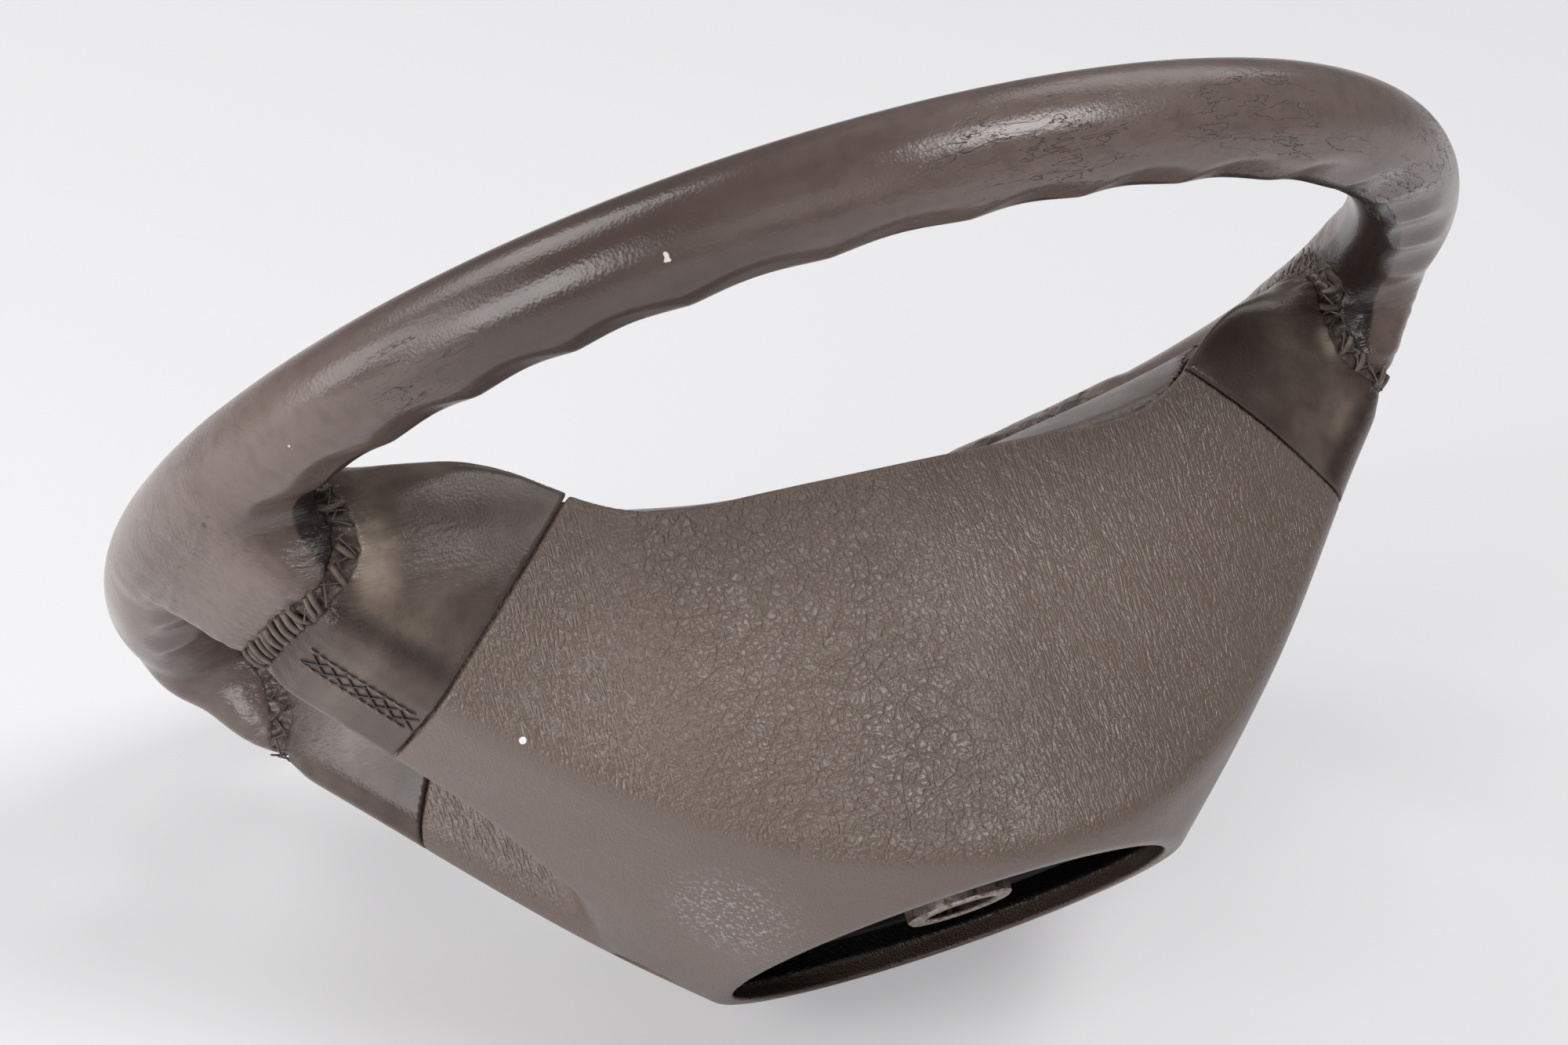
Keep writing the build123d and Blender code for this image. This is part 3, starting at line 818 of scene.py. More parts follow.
@dataclass(frozen=True)
class GrainedSkin:
    """Moulded skin with a hide grain on the wall and a fine pebble on the rear face, with painted shade in
    the creases of the grain and a painted reflection of the table on the rear face.
    """

    name: str
    tone: Colour = (0.140, 0.100, 0.080)
    # Tone of the random clouding and of the painted shade in the creases.
    shade: Colour = (0.058, 0.042, 0.034)
    pale_speck_tone: Colour = (0.42, 0.38, 0.37)
    dark: Colour = (0.010, 0.009, 0.009)
    # Greyer tone of the rear face: painted reflection of the table.
    rear_reflection_tone: Colour = (0.128, 0.097, 0.086)
    rough: float = 0.37
    coarse: float = 1.0
    wide_h: float = 0.15
    second_h: float = 0.16
    pleat_h: float = 0.16
    pebble: float = 1050.0
    pebble_h: float = 0.11
    pale_specks: Place = (77.0, 22.0, 12.0)
    pale_specks_reach: float = 24.0
    fleck: Place = (125.3, 39.7, 66.9)
    fleck_r: float = 1.3
    fleck_tone: Colour = (0.74, 0.74, 0.76)

    def _relief(self, t: MaterialTree, x: object) -> tuple[object, object]:
        """Hide grain of the wall: wide cells in the middle, pleats towards its ends.

        Args:
            t: The material.
            x: Place to the driver's right, in metres.

        Returns:
            The height in mm and the painted shade in the creases.
        """
        ends = t.math("MAXIMUM", t.ramp(x, 0.026, -0.018), t.ramp(x, 0.076, 0.104))
        middle = t.math("SUBTRACT", 1.0, ends)
        upright = t.vector("MULTIPLY", t.place, (1.0, 1.0, 0.20))
        wide = t.cell_edge(t.warped(t.place, 70.0, 0.012), 140.0)
        second = t.cell_edge(t.warped(t.place, 160.0, 0.006), 460.0)
        pleats = t.cell_edge(t.warped(upright, 150.0, 0.004), 880.0)
        open_grain = t.ramp(t.noise(t.place, 26.0, 2.0), 0.30, 0.60, 0.75, 1.0)
        cells = t.math("MULTIPLY", t.ramp(wide, 0.0, 0.07), t.math("MULTIPLY", open_grain, self.wide_h))
        cells = t.math("ADD", cells, t.math("MULTIPLY", t.ramp(second, 0.0, 0.22), self.second_h))
        folds = t.math("MULTIPLY", t.ramp(pleats, 0.0, 0.30), self.pleat_h)
        height = t.math("ADD", t.math("MULTIPLY", cells, middle), t.math("MULTIPLY", folds, ends))
        lines = t.math("MULTIPLY", t.ramp(wide, 0.0, 0.034, 1.0, 0.0), open_grain)
        lines = t.math("MAXIMUM", lines, t.ramp(second, 0.0, 0.07, 0.5, 0.0))
        gaps = t.math("MULTIPLY", t.ramp(pleats, 0.0, 0.13, 0.7, 0.0), ends)
        return height, t.math("ADD", t.math("MULTIPLY", lines, middle), gaps)

    def material(self) -> bpy.types.Material:
        """Build the material."""
        t = MaterialTree(self.name)
        normal_in = t.add("ShaderNodeNewGeometry").outputs["Normal"]
        facing = t.add("ShaderNodeSeparateXYZ", Vector=normal_in).outputs
        rear = t.ramp(t.math("MULTIPLY", facing["Z"], -1.0), 0.25, 0.6)
        place = t.add("ShaderNodeSeparateXYZ", Vector=t.place).outputs
        wall = t.math("MULTIPLY", t.math("SUBTRACT", 1.0, rear), self.coarse)
        height, crease = self._relief(t, place["X"])
        crease = t.math("MULTIPLY", crease, wall)
        pebble = t.cell_middle(t.warped(t.place, 300.0, 0.002), self.pebble)
        dome = t.ramp(pebble, 0.0, 0.75, 1.0, 0.0)
        cloud = t.noise(t.place, 14.0, 3.0)
        colour = t.mix(t.ramp(cloud, 0.3, 0.7, 0.0, 0.25), self.tone, self.shade)
        # The rear face, which faces the table, is mixed towards a greyer tone: painted reflection of the
        # table.
        colour = t.mix(t.math("MULTIPLY", rear, 0.8), colour, self.rear_reflection_tone)
        # Painted shade in the creases of the grain.
        colour = t.mix(t.math("MULTIPLY", crease, 0.45), colour, self.shade)
        # Whitish specks on the rear face, strongest round one place.
        near = t.vector("DISTANCE", t.place, tuple(c * MM for c in self.pale_specks))
        pale_specks = t.math("MULTIPLY", t.ramp(near, self.pale_specks_reach * MM, self.pale_specks_reach * MM * 0.3), rear)
        speckle_noise = t.noise(t.vector("MULTIPLY", t.place, (1.0, 1.0, 0.35)), 950.0, 3.0)
        pale_specks = t.math("MULTIPLY", pale_specks, t.ramp(speckle_noise, 0.54, 0.64))
        colour = t.mix(t.math("MULTIPLY", pale_specks, 0.55), colour, self.pale_speck_tone)
        away = t.vector("DISTANCE", t.place, tuple(c * MM for c in self.fleck))
        colour = t.mix(t.ramp(away, self.fleck_r * MM, self.fleck_r * MM * 0.8), colour, self.fleck_tone)
        colour = t.mix(t.mark("inside"), colour, self.dark)
        t.feed(t.shader, "Base Color", colour)
        gloss = t.ramp(t.noise(t.place, 40.0, 3.0), 0.3, 0.7, self.rough - 0.05, self.rough + 0.05)
        t.feed(t.shader, "Roughness", gloss)
        height = t.math("ADD", t.math("MULTIPLY", height, wall), t.math("MULTIPLY", dome, self.pebble_h))
        t.feed(t.shader, "Normal", t.bump(height, MM))
        return t.material


@dataclass(frozen=True)
class RustySteel:
    """Bare machined steel with a brown bloom of rust and painted shade in its bore."""

    name: str
    steel: Colour = (0.40, 0.35, 0.33)
    rust: Colour = (0.15, 0.088, 0.062)
    rust_share: float = 0.55
    # Tone of the painted shade in the bore.
    deep: Colour = (0.040, 0.022, 0.015)
    bore_r: float = 10.0

    def material(self) -> bpy.types.Material:
        """Build the material."""
        t = MaterialTree(self.name)
        bare = 0.62 - 0.3 * self.rust_share
        rusted = 0.72 - 0.2 * self.rust_share
        bloom = t.ramp(t.noise(t.place, 420.0, 5.0, 0.65), bare, rusted)
        speck = t.noise(t.place, 700.0, 3.0)
        colour = t.mix(bloom, self.steel, self.rust)
        colour = t.mix(t.ramp(speck, 0.4, 0.7, 0.0, 0.4), colour, self.rust)
        out = t.vector("LENGTH", t.vector("MULTIPLY", t.place, (1.0, 1.0, 0.0)))
        # Painted shade inside the bore, in the deep tone.
        bore_shade = t.ramp(out, (self.bore_r + 0.8) * MM, self.bore_r * MM)
        t.feed(t.shader, "Base Color", t.mix(bore_shade, colour, self.deep))
        t.feed(t.shader, "Metallic", t.math("SUBTRACT", 1.0, t.math("MULTIPLY", bloom, 0.8)))
        t.feed(t.shader, "Roughness", t.ramp(bloom, 0.0, 1.0, 0.34, 0.75))
        t.feed(t.shader, "Normal", t.bump(speck, 0.00008))
        return t.material


@dataclass(frozen=True)
class WaxedThread:
    """Thread under the same finish as the leather, with painted shade where it lies deep in the seam."""

    name: str
    tone: Colour = (0.135, 0.100, 0.080)
    shade: Colour = (0.075, 0.054, 0.044)
    deep: Colour = (0.016, 0.011, 0.010)

    def material(self) -> bpy.types.Material:
        """Build the material."""
        t = MaterialTree(self.name)
        colour = t.mix(t.ramp(t.noise(t.place, 420.0, 3.0), 0.3, 0.7), self.tone, self.shade)
        # The depth_shade mark mixes in the deep tone: painted shade where the thread lies deep in the seam.
        t.feed(t.shader, "Base Color", t.mix(t.mark("depth_shade"), colour, self.deep))
        t.shader.inputs["Roughness"].default_value = 0.38
        t.feed(t.shader, "Normal", t.bump(t.noise(t.place, 2500.0, 3.0), 0.00006))
        return t.material


@dataclass(frozen=True)
class PlainFinish:
    """Even finish with a fine texture, for plastics, metals and the seam lining."""

    name: str
    tone: Colour
    shade: Colour
    rough: float = 0.5
    metal: float = 0.0
    grain: float = 900.0
    depth: float = 0.00004

    def material(self) -> bpy.types.Material:
        """Build the material."""
        t = MaterialTree(self.name)
        speck = t.noise(t.place, self.grain, 3.0)
        cloud = t.ramp(t.noise(t.place, self.grain / 6.0, 3.0), 0.3, 0.7)
        t.feed(t.shader, "Base Color", t.mix(cloud, self.tone, self.shade))
        t.shader.inputs["Metallic"].default_value = self.metal
        t.feed(t.shader, "Roughness", t.ramp(speck, 0.3, 0.7, self.rough - 0.08, self.rough + 0.08))
        t.feed(t.shader, "Normal", t.bump(speck, self.depth))
        return t.material


class Finishes:
    """Every finish of the wheel, made once."""

    def __init__(self) -> None:
        """Make the materials."""
        cracked = (
            ((-60.0, 186.0, 139.0), 70.0),
            ((-122.0, 136.0, 134.0), 60.0),
            ((20.0, 198.0, 146.0), 60.0),
            ((158.0, 122.0, 149.0), 34.0),
        )
        flecks = (((106.5, 167.8, 143.1), 1.1), ((178.5, 85.0, 141.3), 0.5))
        self.rim = WornLeather("rim_leather_worn", crack_spots=cracked, flecks=flecks).material()
        # On the sleeves faded is the tone of the rub and painted highlight beside the upper seams.
        self.sleeve = WornLeather(
            "sleeve_leather_worn",
            dye=(0.047, 0.030, 0.025),
            faded=(0.270, 0.215, 0.172),
            crack_share=0.0,
            rough=(0.25, 0.36),
            sheen=0.34,
            edge=(0.35, 1.15),
        ).material()
        smooth = GrainedSkin("pad_skin_smooth", tone=(0.128, 0.104, 0.093), rough=0.38, coarse=0.0)
        self.pad = smooth.material()
        self.skin = GrainedSkin("moulded_skin_grained").material()
        self.boss = RustySteel("boss_steel_rusty").material()
        self.frame = PlainFinish(
            "frame_alloy_cast", (0.36, 0.36, 0.37), (0.28, 0.28, 0.29), rough=0.55, metal=1.0, grain=500.0
        ).material()
        self.zinc = PlainFinish(
            "zinc_plated", (0.52, 0.52, 0.53), (0.44, 0.44, 0.45), rough=0.34, metal=1.0, grain=1500.0
        ).material()
        self.brass = PlainFinish(
            "brass_bare", (0.55, 0.40, 0.16), (0.45, 0.32, 0.13), rough=0.32, metal=1.0, grain=1500.0
        ).material()
        self.black = PlainFinish(
            "black_plastic", (0.011, 0.011, 0.013), (0.008, 0.008, 0.010), rough=0.46
        ).material()
        self.lining = PlainFinish(
            "seam_lining", (0.044, 0.033, 0.028), (0.082, 0.061, 0.050), rough=0.34, grain=420.0, depth=0.0006
        ).material()
        self.thread = WaxedThread("seam_thread").material()


def dress(obj: bpy.types.Object, material: bpy.types.Material) -> None:
    """Give a piece one material all over.

    Args:
        obj: The piece.
        material: Its finish.
    """
    obj.data.materials.clear()
    obj.data.materials.append(material)


@dataclass
class LeatherWork:
    """Leather of the rim and its spokes, with the sewn seams between them."""

    form: WheelForm
    finishes: Finishes
    half_gap: float = 2.7
    rim_lap: float = 1.2
    edge_reach: float = 1.4
    seat_reach: float = 0.7
    lining_sink: float = 0.7
    lining_lap: float = 2.2
    rim_step: float = 1.35
    step: float = 0.95
    # Where the rim's underside is darkened: dye not worn away, with painted shade.
    dark_underside_turn: tuple[float, float] = (74.0, 82.0)
    dark_underside_tilt: tuple[float, float, float, float] = (14.0, 34.0, 90.0, 120.0)
    # Painted shade band along the ridge of the upper spokes.
    ridge_shade: tuple[Place, Place] = ((164.6, 41.5, 110.5), (141.9, 40.7, 89.3))
    ridge_shade_reach: float = 5.0
    ridge_shade_strength: float = 0.62
    # Spots where the sleeves are lightened beside the upper seams, and the least and most of it: rubbed dye
    # with a painted highlight.
    polish_and_painted_highlight: Place = (152.5, 47.0, 119.0)
    polish_highlight_reach: float = 6.5
    left_polish_and_painted_highlight: Place = (152.0, 47.0, 125.5)
    left_polish_highlight_reach: float = 3.8
    polish_highlight_squeeze: float = 0.7
    least_worn: float = 0.20
    most_worn: float = 0.95
    seam_fade: float = 9.0
    body: str = "wheel"

    def _wander(self, x: np.ndarray, y: np.ndarray, z: np.ndarray) -> np.ndarray:
        """Uneven run of the cut edges, in mm."""
        return 0.45 * np.sin(0.31 * z + 0.23 * y) + 0.35 * np.sin(0.57 * y - 0.21 * np.abs(x))

    def rim_field(self, x: np.ndarray, y: np.ndarray, z: np.ndarray) -> np.ndarray:
        """Distance to the rim's leather."""
        edge = self.form.seam(x, y, z, -self.half_gap, -self.rim_lap) - self._wander(x, y, z) * 0.6
        return soft_max(self.form.skin(x, y, z), edge, self.edge_reach)

    def sleeve_field(self, row: Row) -> Field:
        """Distance to the sleeves of one pair of spokes."""
        sign = 1.0 if row is Row.UPPER else -1.0

        def distance(x: np.ndarray, y: np.ndarray, z: np.ndarray) -> np.ndarray:
            """Distance to the sleeve, in mm."""
            edge = -self._wander(x, y, z) - self.form.seam(x, y, z, self.half_gap, self.half_gap)
            result = soft_max(self.form.skin(x, y, z), edge, self.edge_reach)
            seat = self.form.groove_w / 2.0 - self.form.groove(x, y, z)
            result = soft_max(result, seat, self.seat_reach)
            sector = sign * (self.form.sector_slope * np.abs(x) - y)
            return np.maximum(result, sector)

        return distance

    def lining_field(self, x: np.ndarray, y: np.ndarray, z: np.ndarray) -> np.ndarray:
        """Distance to the strip under the seams."""
        low = self.form.seam(x, y, z, -self.half_gap - self.lining_lap, -self.rim_lap - self.lining_lap)
        high = self.form.seam(x, y, z, self.half_gap + self.lining_lap, self.half_gap + self.lining_lap)
        ripple = 0.45 * np.sin(1.1 * z + 0.5 * y) * np.sin(0.9 * x - 0.6 * y)
        band = np.maximum(-low, high)
        return np.maximum(self.form.skin(x, y, z) + self.lining_sink + ripple, band)

    def seam_mark(self, x: np.ndarray, y: np.ndarray, z: np.ndarray) -> np.ndarray:
        """Nearness of the seam, from 0 to 1."""
        near = np.exp(-np.abs(self.form.seam(x, y, z)) / self.seam_fade)
        return near * soft_step(self.form.tube(x, y, z), -0.5, 3.0)

    def underside_dye_and_shade_mark(self, x: np.ndarray, y: np.ndarray, z: np.ndarray) -> np.ndarray:
        """Nearness of the dark underside of the rim above the upper spokes, from 0 to 1: dye not worn away,
        with painted shade.
        """
        turn = np.degrees(np.arctan2(np.abs(x), y))
        near = 1.0 - soft_step(turn, *self.dark_underside_turn)
        a, b, c, d = self.dark_underside_tilt
        tilt = np.degrees(np.arctan2(self.form.rim_r - np.hypot(x, y), self.form.rim_z - z))
        return near * soft_step(tilt, a, b) * (1.0 - soft_step(tilt, c, d))

    def ridge_shade_mark(self, x: np.ndarray, y: np.ndarray, z: np.ndarray) -> np.ndarray:
        """Nearness of the painted shade band along the edge of the upper spokes, from 0 to 1."""
        first, last = np.array(self.ridge_shade[0]), np.array(self.ridge_shade[1])
        run = last - first
        places = np.stack([np.abs(x), y, z], -1) - first
        share = np.clip(places @ run / (run @ run), 0.0, 1.0)
        away = np.linalg.norm(places - share[..., None] * run, axis=-1)
        return self.ridge_shade_strength * np.exp(-((away / self.ridge_shade_reach) ** 2))

    def rim_wear_and_painted_light(self, x: np.ndarray, y: np.ndarray, z: np.ndarray) -> np.ndarray:
        """How far the rim is lightened, from 0 to 1, by its place round the wheel: wear of the dye together
        with painted light and shade.
        """
        angle = np.degrees(np.arctan2(y, x))
        places = (-180.0, -60.0, 0.0, 24.0, 44.0, 58.0, 76.0, 96.0, 130.0, 180.0)
        return np.interp(angle, places, (0.5, 0.5, 0.75, 0.75, 0.08, 0.12, 0.40, 0.55, 0.55, 0.5))

    def sleeve_rub_and_painted_highlight(self, x: np.ndarray, y: np.ndarray, z: np.ndarray) -> np.ndarray:
        """How far the sleeves are lightened, from 0 to 1, most beside the upper seams: rubbed dye with a
        painted highlight.
        """
        spots = ((self.polish_and_painted_highlight, self.polish_highlight_reach), (self.left_polish_and_painted_highlight, self.left_polish_highlight_reach))
        patches = []
        for (a, b, c), reach in spots:
            away = (np.abs(x) - a) ** 2 + (y - b) ** 2 + ((z - c) * self.polish_highlight_squeeze) ** 2
            patches.append(np.exp(-away / reach**2))
        return self.least_worn + (self.most_worn - self.least_worn) * np.where(x > 0.0, *patches)

    def build(self) -> None:
        """Make the leather pieces and seat them on the wheel."""
        # The 'worn' mark carries wear of the rim's dye with painted light and shade; the 'dye' mark carries
        # the dark underside, dye not worn away with painted shade.
        marks = {"seam": self.seam_mark, "dye": self.underside_dye_and_shade_mark, "worn": self.rim_wear_and_painted_light}
        net = SurfaceNet(self.rim_field, (-207, -207, 102), (207, 207, 172), self.rim_step).settle()
        rim = net.build("rim_wrap", marks)
        dress(rim, self.finishes.rim)
        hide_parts("rim_leather")
        self._seat(rim)
        boxes = {
            Row.UPPER: ((88, -30, 68), (184, 62, 168)),
            Row.LOWER: ((60, -134, 56), (162, -34, 168)),
        }
        # On the sleeves the 'worn' mark carries rubbed dye with a painted highlight, and the 'dye' mark a
        # painted shade band along the ridge.
        marks["worn"] = self.sleeve_rub_and_painted_highlight
        marks["dye"] = self.ridge_shade_mark
        for row, (low, high) in boxes.items():
            net = SurfaceNet(self.sleeve_field(row), low, high, self.step).settle()
            right = net.build(f"{row.value}_sleeve_wrap_right", marks)
            left = mirrored(right, f"{row.value}_sleeve_wrap_left")
            # The left sleeves get their own 'worn' mark: rubbed dye with a painted highlight.
            set_mark(left.data, "worn", self.sleeve_rub_and_painted_highlight)
            for piece, side in ((right, Side.RIGHT), (left, Side.LEFT)):
                dress(piece, self.finishes.sleeve)
                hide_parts(f"{row.value}_sleeve_{side.name.lower()}")
                self._seat(piece)
        net = SurfaceNet(self.lining_field, (110, -136, 92), (192, 62, 172), self.step).settle(2)
        lining = net.build("seam_lining_right")
        for piece in (lining, mirrored(lining, "seam_lining_left")):
            dress(piece, self.finishes.lining)
            self._seat(piece)

    def _seat(self, piece: bpy.types.Object) -> None:
        """Let a piece ride on the wheel."""
        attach(piece, self.body)
        LOG.info("%s: %d faces", piece.name, len(piece.data.polygons))


@dataclass(frozen=True)
class Stitch:
    """One kind of stitch: pitch, length and slants, how wide its thread is and how much painted shade it gets
    where it lies deep.
    """

    pitch: float
    length: float
    slants: tuple[float, ...]
    width: float
    depth_shade: float


@dataclass
class SeamThreads:
    """Threads of the seams round the spokes and of the closing seams of the upper sleeves."""

    form: WheelForm
    finishes: Finishes
    # The last number of each stitch is the share of painted shade on its threads.
    ladder: Stitch = Stitch(2.3, 7.6, (0.34,), 1.9, 0.0)
    loose: Stitch = Stitch(3.6, 6.8, (0.72, -0.72), 0.62, 0.30)
    lattice: Stitch = Stitch(3.6, 10.6, (0.80, -0.80), 0.66, 1.0)
    border: Stitch = Stitch(2.0, 2.8, (1.35,), 0.9, 0.1)
    border_off: float = 4.1
    lattice_y: float = 25.0
    lattice_x: tuple[float, float] = (148.5, 170.0)
    lattice_rise: float = 1.057
    lattice_drop: float = 74.1
    ladder_turn: float = -0.45
    radius: float = 0.48
    arch: float = 0.9
    lift: float = 0.05
    uneven: tuple[float, float] = (0.8, 1.12)
    seed: int = 7
    body: str = "wheel"

    def _loop(self, row: Row) -> np.ndarray:
        """Closed run of one seam on the skin, in mm."""
        upper = row is Row.UPPER
        a, b = (1.0, 0.0) if upper else self.form.lower_run
        middle = np.array(self.form.upper_middle if upper else self.form.lower_middle)
        run = np.array((a, b, 0.0))
        turn = np.linspace(0.0, 2.0 * math.pi, 240, endpoint=False)
        side = np.array((-b, a, 0.0))
        up = np.array((0.0, 0.0, 1.0))
        ray = np.cos(turn)[:, None] * side + np.sin(turn)[:, None] * up
        points = middle + 20.0 * ray
        for _ in range(60):
            points = drawn_onto(self.form.skin, points, 3.0)
            points = drawn_onto(self.form.seam, points, 3.0)
            away = points - middle
            radial = np.maximum((away * ray).sum(1), 3.0)
            points = middle + (away @ run)[:, None] * run + radial[:, None] * ray
        return drawn_onto(self.form.skin, points, 1.0)

    @staticmethod
    def _spaced(points: np.ndarray, pitch: float) -> np.ndarray:
        """Points at even distances along a run."""
        length = np.concatenate([[0.0], np.cumsum(np.linalg.norm(np.diff(points, axis=0), axis=1))])
        at = np.arange(0.0, length[-1], pitch)
        return np.stack([np.interp(at, length, points[:, axis]) for axis in range(3)], 1)

    def _threads(
        self, points: np.ndarray, kind: Stitch, turned: tuple[float, float] = (-2.0, 2.0)
    ) -> list[np.ndarray]:
        """Threads along a run, as rows of place, way, normal, length, width and depth_shade.

        Args:
            points: Places of the threads, in mm.
            kind: The stitch.
            turned: Least and greatest forward part of the normal where threads are kept.

        Returns:
            One row for each thread.
        """
        normal = slope_of(self.form.skin, points)
        normal /= np.linalg.norm(normal, axis=1)[:, None]
        along = np.gradient(points, axis=0)
        along -= normal * (along * normal).sum(1)[:, None]
        along /= np.maximum(np.linalg.norm(along, axis=1), 1e-6)[:, None]
        across = np.cross(normal, along)
        rows = []
        for i, point in enumerate(points):
            if turned[0] <= normal[i, 2] < turned[1]:
                angle = kind.slants[i % len(kind.slants)]
                way = across[i] * math.cos(angle) + along[i] * math.sin(angle)
                rows.append(np.concatenate([point, way, normal[i], [kind.length, kind.width, kind.depth_shade]]))
        return rows

    def _closing_line(self, pitch: float, off: float) -> np.ndarray:
        """Run of the closing seam of an upper sleeve, moved sideways, in mm."""
        x = np.arange(*self.lattice_x, pitch)
        y = np.full_like(x, self.lattice_y + off)
        line = np.stack([x, y, x * self.lattice_rise - self.lattice_drop], 1)
        for _ in range(6):
            line = drawn_onto(self.form.skin, line, 2.0)
        return line

    def _rows(self) -> np.ndarray:
        """Every thread on the driver's right."""
        rows: list[np.ndarray] = []
        for row in Row:
            loop = self._loop(row)
            loop = np.concatenate([loop, loop[:1]])
            wide = self._spaced(loop, self.loose.pitch)
            if row is Row.UPPER:
                tight = self._spaced(loop, self.ladder.pitch)
                rows += self._threads(tight, self.ladder, (-2.0, self.ladder_turn))
                rows += self._threads(wide, self.loose, (self.ladder_turn, 2.0))
            else:
                rows += self._threads(wide, self.loose)
        line = self._closing_line(self.lattice.pitch, 0.0)
        rows += self._threads(line, self.lattice)
        rows += self._threads(line, replace(self.lattice, slants=self.lattice.slants[::-1]))
        for off in (-self.border_off, self.border_off):
            rows += self._threads(self._closing_line(self.border.pitch, off), self.border)
        return np.array(rows)

    def _tree(self) -> bpy.types.NodeTree:
        """Geometry nodes that lay one bent cord on each point."""
        tree = bpy.data.node_groups.new("seam_threads", "GeometryNodeTree")
        for name, kind in (
            ("Geometry", "NodeSocketGeometry"),
            ("Radius", "NodeSocketFloat"),
            ("Seed", "NodeSocketInt"),
            ("Material", "NodeSocketMaterial"),
        ):
            tree.interface.new_socket(name, in_out="INPUT", socket_type=kind)
        tree.interface.new_socket("Geometry", in_out="OUTPUT", socket_type="NodeSocketGeometry")
        t = Tree(tree)
        source = t.add("NodeGroupInput").outputs
        ends = {"Start": (-0.5, 0.0, 0.0), "Middle": (0.0, 0.0, self.arch * MM), "End": (0.5, 0.0, 0.0)}
        bend = t.add("GeometryNodeCurveQuadraticBezier", Resolution=5, **ends)
        ring = t.add("GeometryNodeCurvePrimitiveCircle", Resolution=6, Radius=source["Radius"])
        curves = {"Curve": bend.outputs[0], "Profile_Curve": ring.outputs[0]}
        cord = t.add("GeometryNodeCurveToMesh", Fill_Caps=True, **curves)
        vector = {"data_type": "FLOAT_VECTOR"}
        way = t.add("GeometryNodeInputNamedAttribute", vector, Name="way").outputs["Attribute"]
        normal = t.add("GeometryNodeInputNamedAttribute", vector, Name="out").outputs["Attribute"]
        number = {"data_type": "FLOAT"}
        length = t.add("GeometryNodeInputNamedAttribute", number, Name="length").outputs["Attribute"]
        width = t.add("GeometryNodeInputNamedAttribute", number, Name="width").outputs["Attribute"]
        axes = {"primary_axis": "Z", "secondary_axis": "X"}
        turn = t.add("FunctionNodeAxesToRotation", axes, Primary_Axis=normal, Secondary_Axis=way)
        uneven = t.add("FunctionNodeRandomValue", {"data_type": "FLOAT"}, Seed=source["Seed"])
        for index, share in zip((2, 3), self.uneven):
            t.feed(uneven, index, share)
        long = t.add("ShaderNodeMath", {"operation": "MULTIPLY"})
        t.feed(long, 0, length)
        t.feed(long, 1, uneven.outputs[1])
        scale = t.add("ShaderNodeCombineXYZ", X=long.outputs[0], Y=width, Z=width)
        laid = t.add("GeometryNodeInstanceOnPoints", Points=source["Geometry"], Instance=cord.outputs[0])
        t.feed(laid, "Rotation", turn.outputs[0])
        t.feed(laid, "Scale", scale.outputs[0])
        real = t.add("GeometryNodeRealizeInstances", Geometry=laid.outputs[0])
        smooth = t.add("GeometryNodeSetShadeSmooth", Geometry=real.outputs[0])
        done = t.add("GeometryNodeSetMaterial", Geometry=smooth.outputs[0], Material=source["Material"])
        t.add("NodeGroupOutput", Geometry=done.outputs[0])
        return tree

    def build(self) -> None:
        """Lay the threads of both sides."""
        right = self._rows()
        flip = np.array((-1.0, 1.0, 1.0) * 3 + (1.0, 1.0, 1.0))
        rows = np.concatenate([right, right * flip])
        mesh = bpy.data.meshes.new("seam_threads")
        mesh.vertices.add(len(rows))
        places = rows[:, :3] + rows[:, 6:9] * self.lift
        mesh.vertices.foreach_set("co", (places * MM).astype(np.float32).ravel())
        for name, first in (("way", 3), ("out", 6)):
            layer = mesh.attributes.new(name, "FLOAT_VECTOR", "POINT")
            layer.data.foreach_set("vector", rows[:, first : first + 3].astype(np.float32).ravel())
        for name, column, unit in (("length", 9, MM), ("width", 10, 1.0), ("depth_shade", 11, 1.0)):
            layer = mesh.attributes.new(name, "FLOAT", "POINT")
            layer.data.foreach_set("value", (rows[:, column] * unit).astype(np.float32))
        threads = bpy.data.objects.new("seam_threads", mesh)
        bpy.context.scene.collection.objects.link(threads)
        tree = self._tree()
        modifier = threads.modifiers.new("threads", "NODES")
        modifier.node_group = tree
        values = {"Radius": self.radius * MM, "Seed": self.seed, "Material": self.finishes.thread}
        for item in tree.interface.items_tree:
            if item.in_out == "INPUT" and item.name in values:
                modifier[item.identifier] = values[item.name]
        shown = threads.evaluated_get(bpy.context.evaluated_depsgraph_get())
        plain = bpy.data.meshes.new_from_object(shown)
        threads.modifiers.remove(modifier)
        threads.data = plain
        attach(threads, self.body)
        LOG.info("%s: %d faces", threads.name, len(plain.polygons))


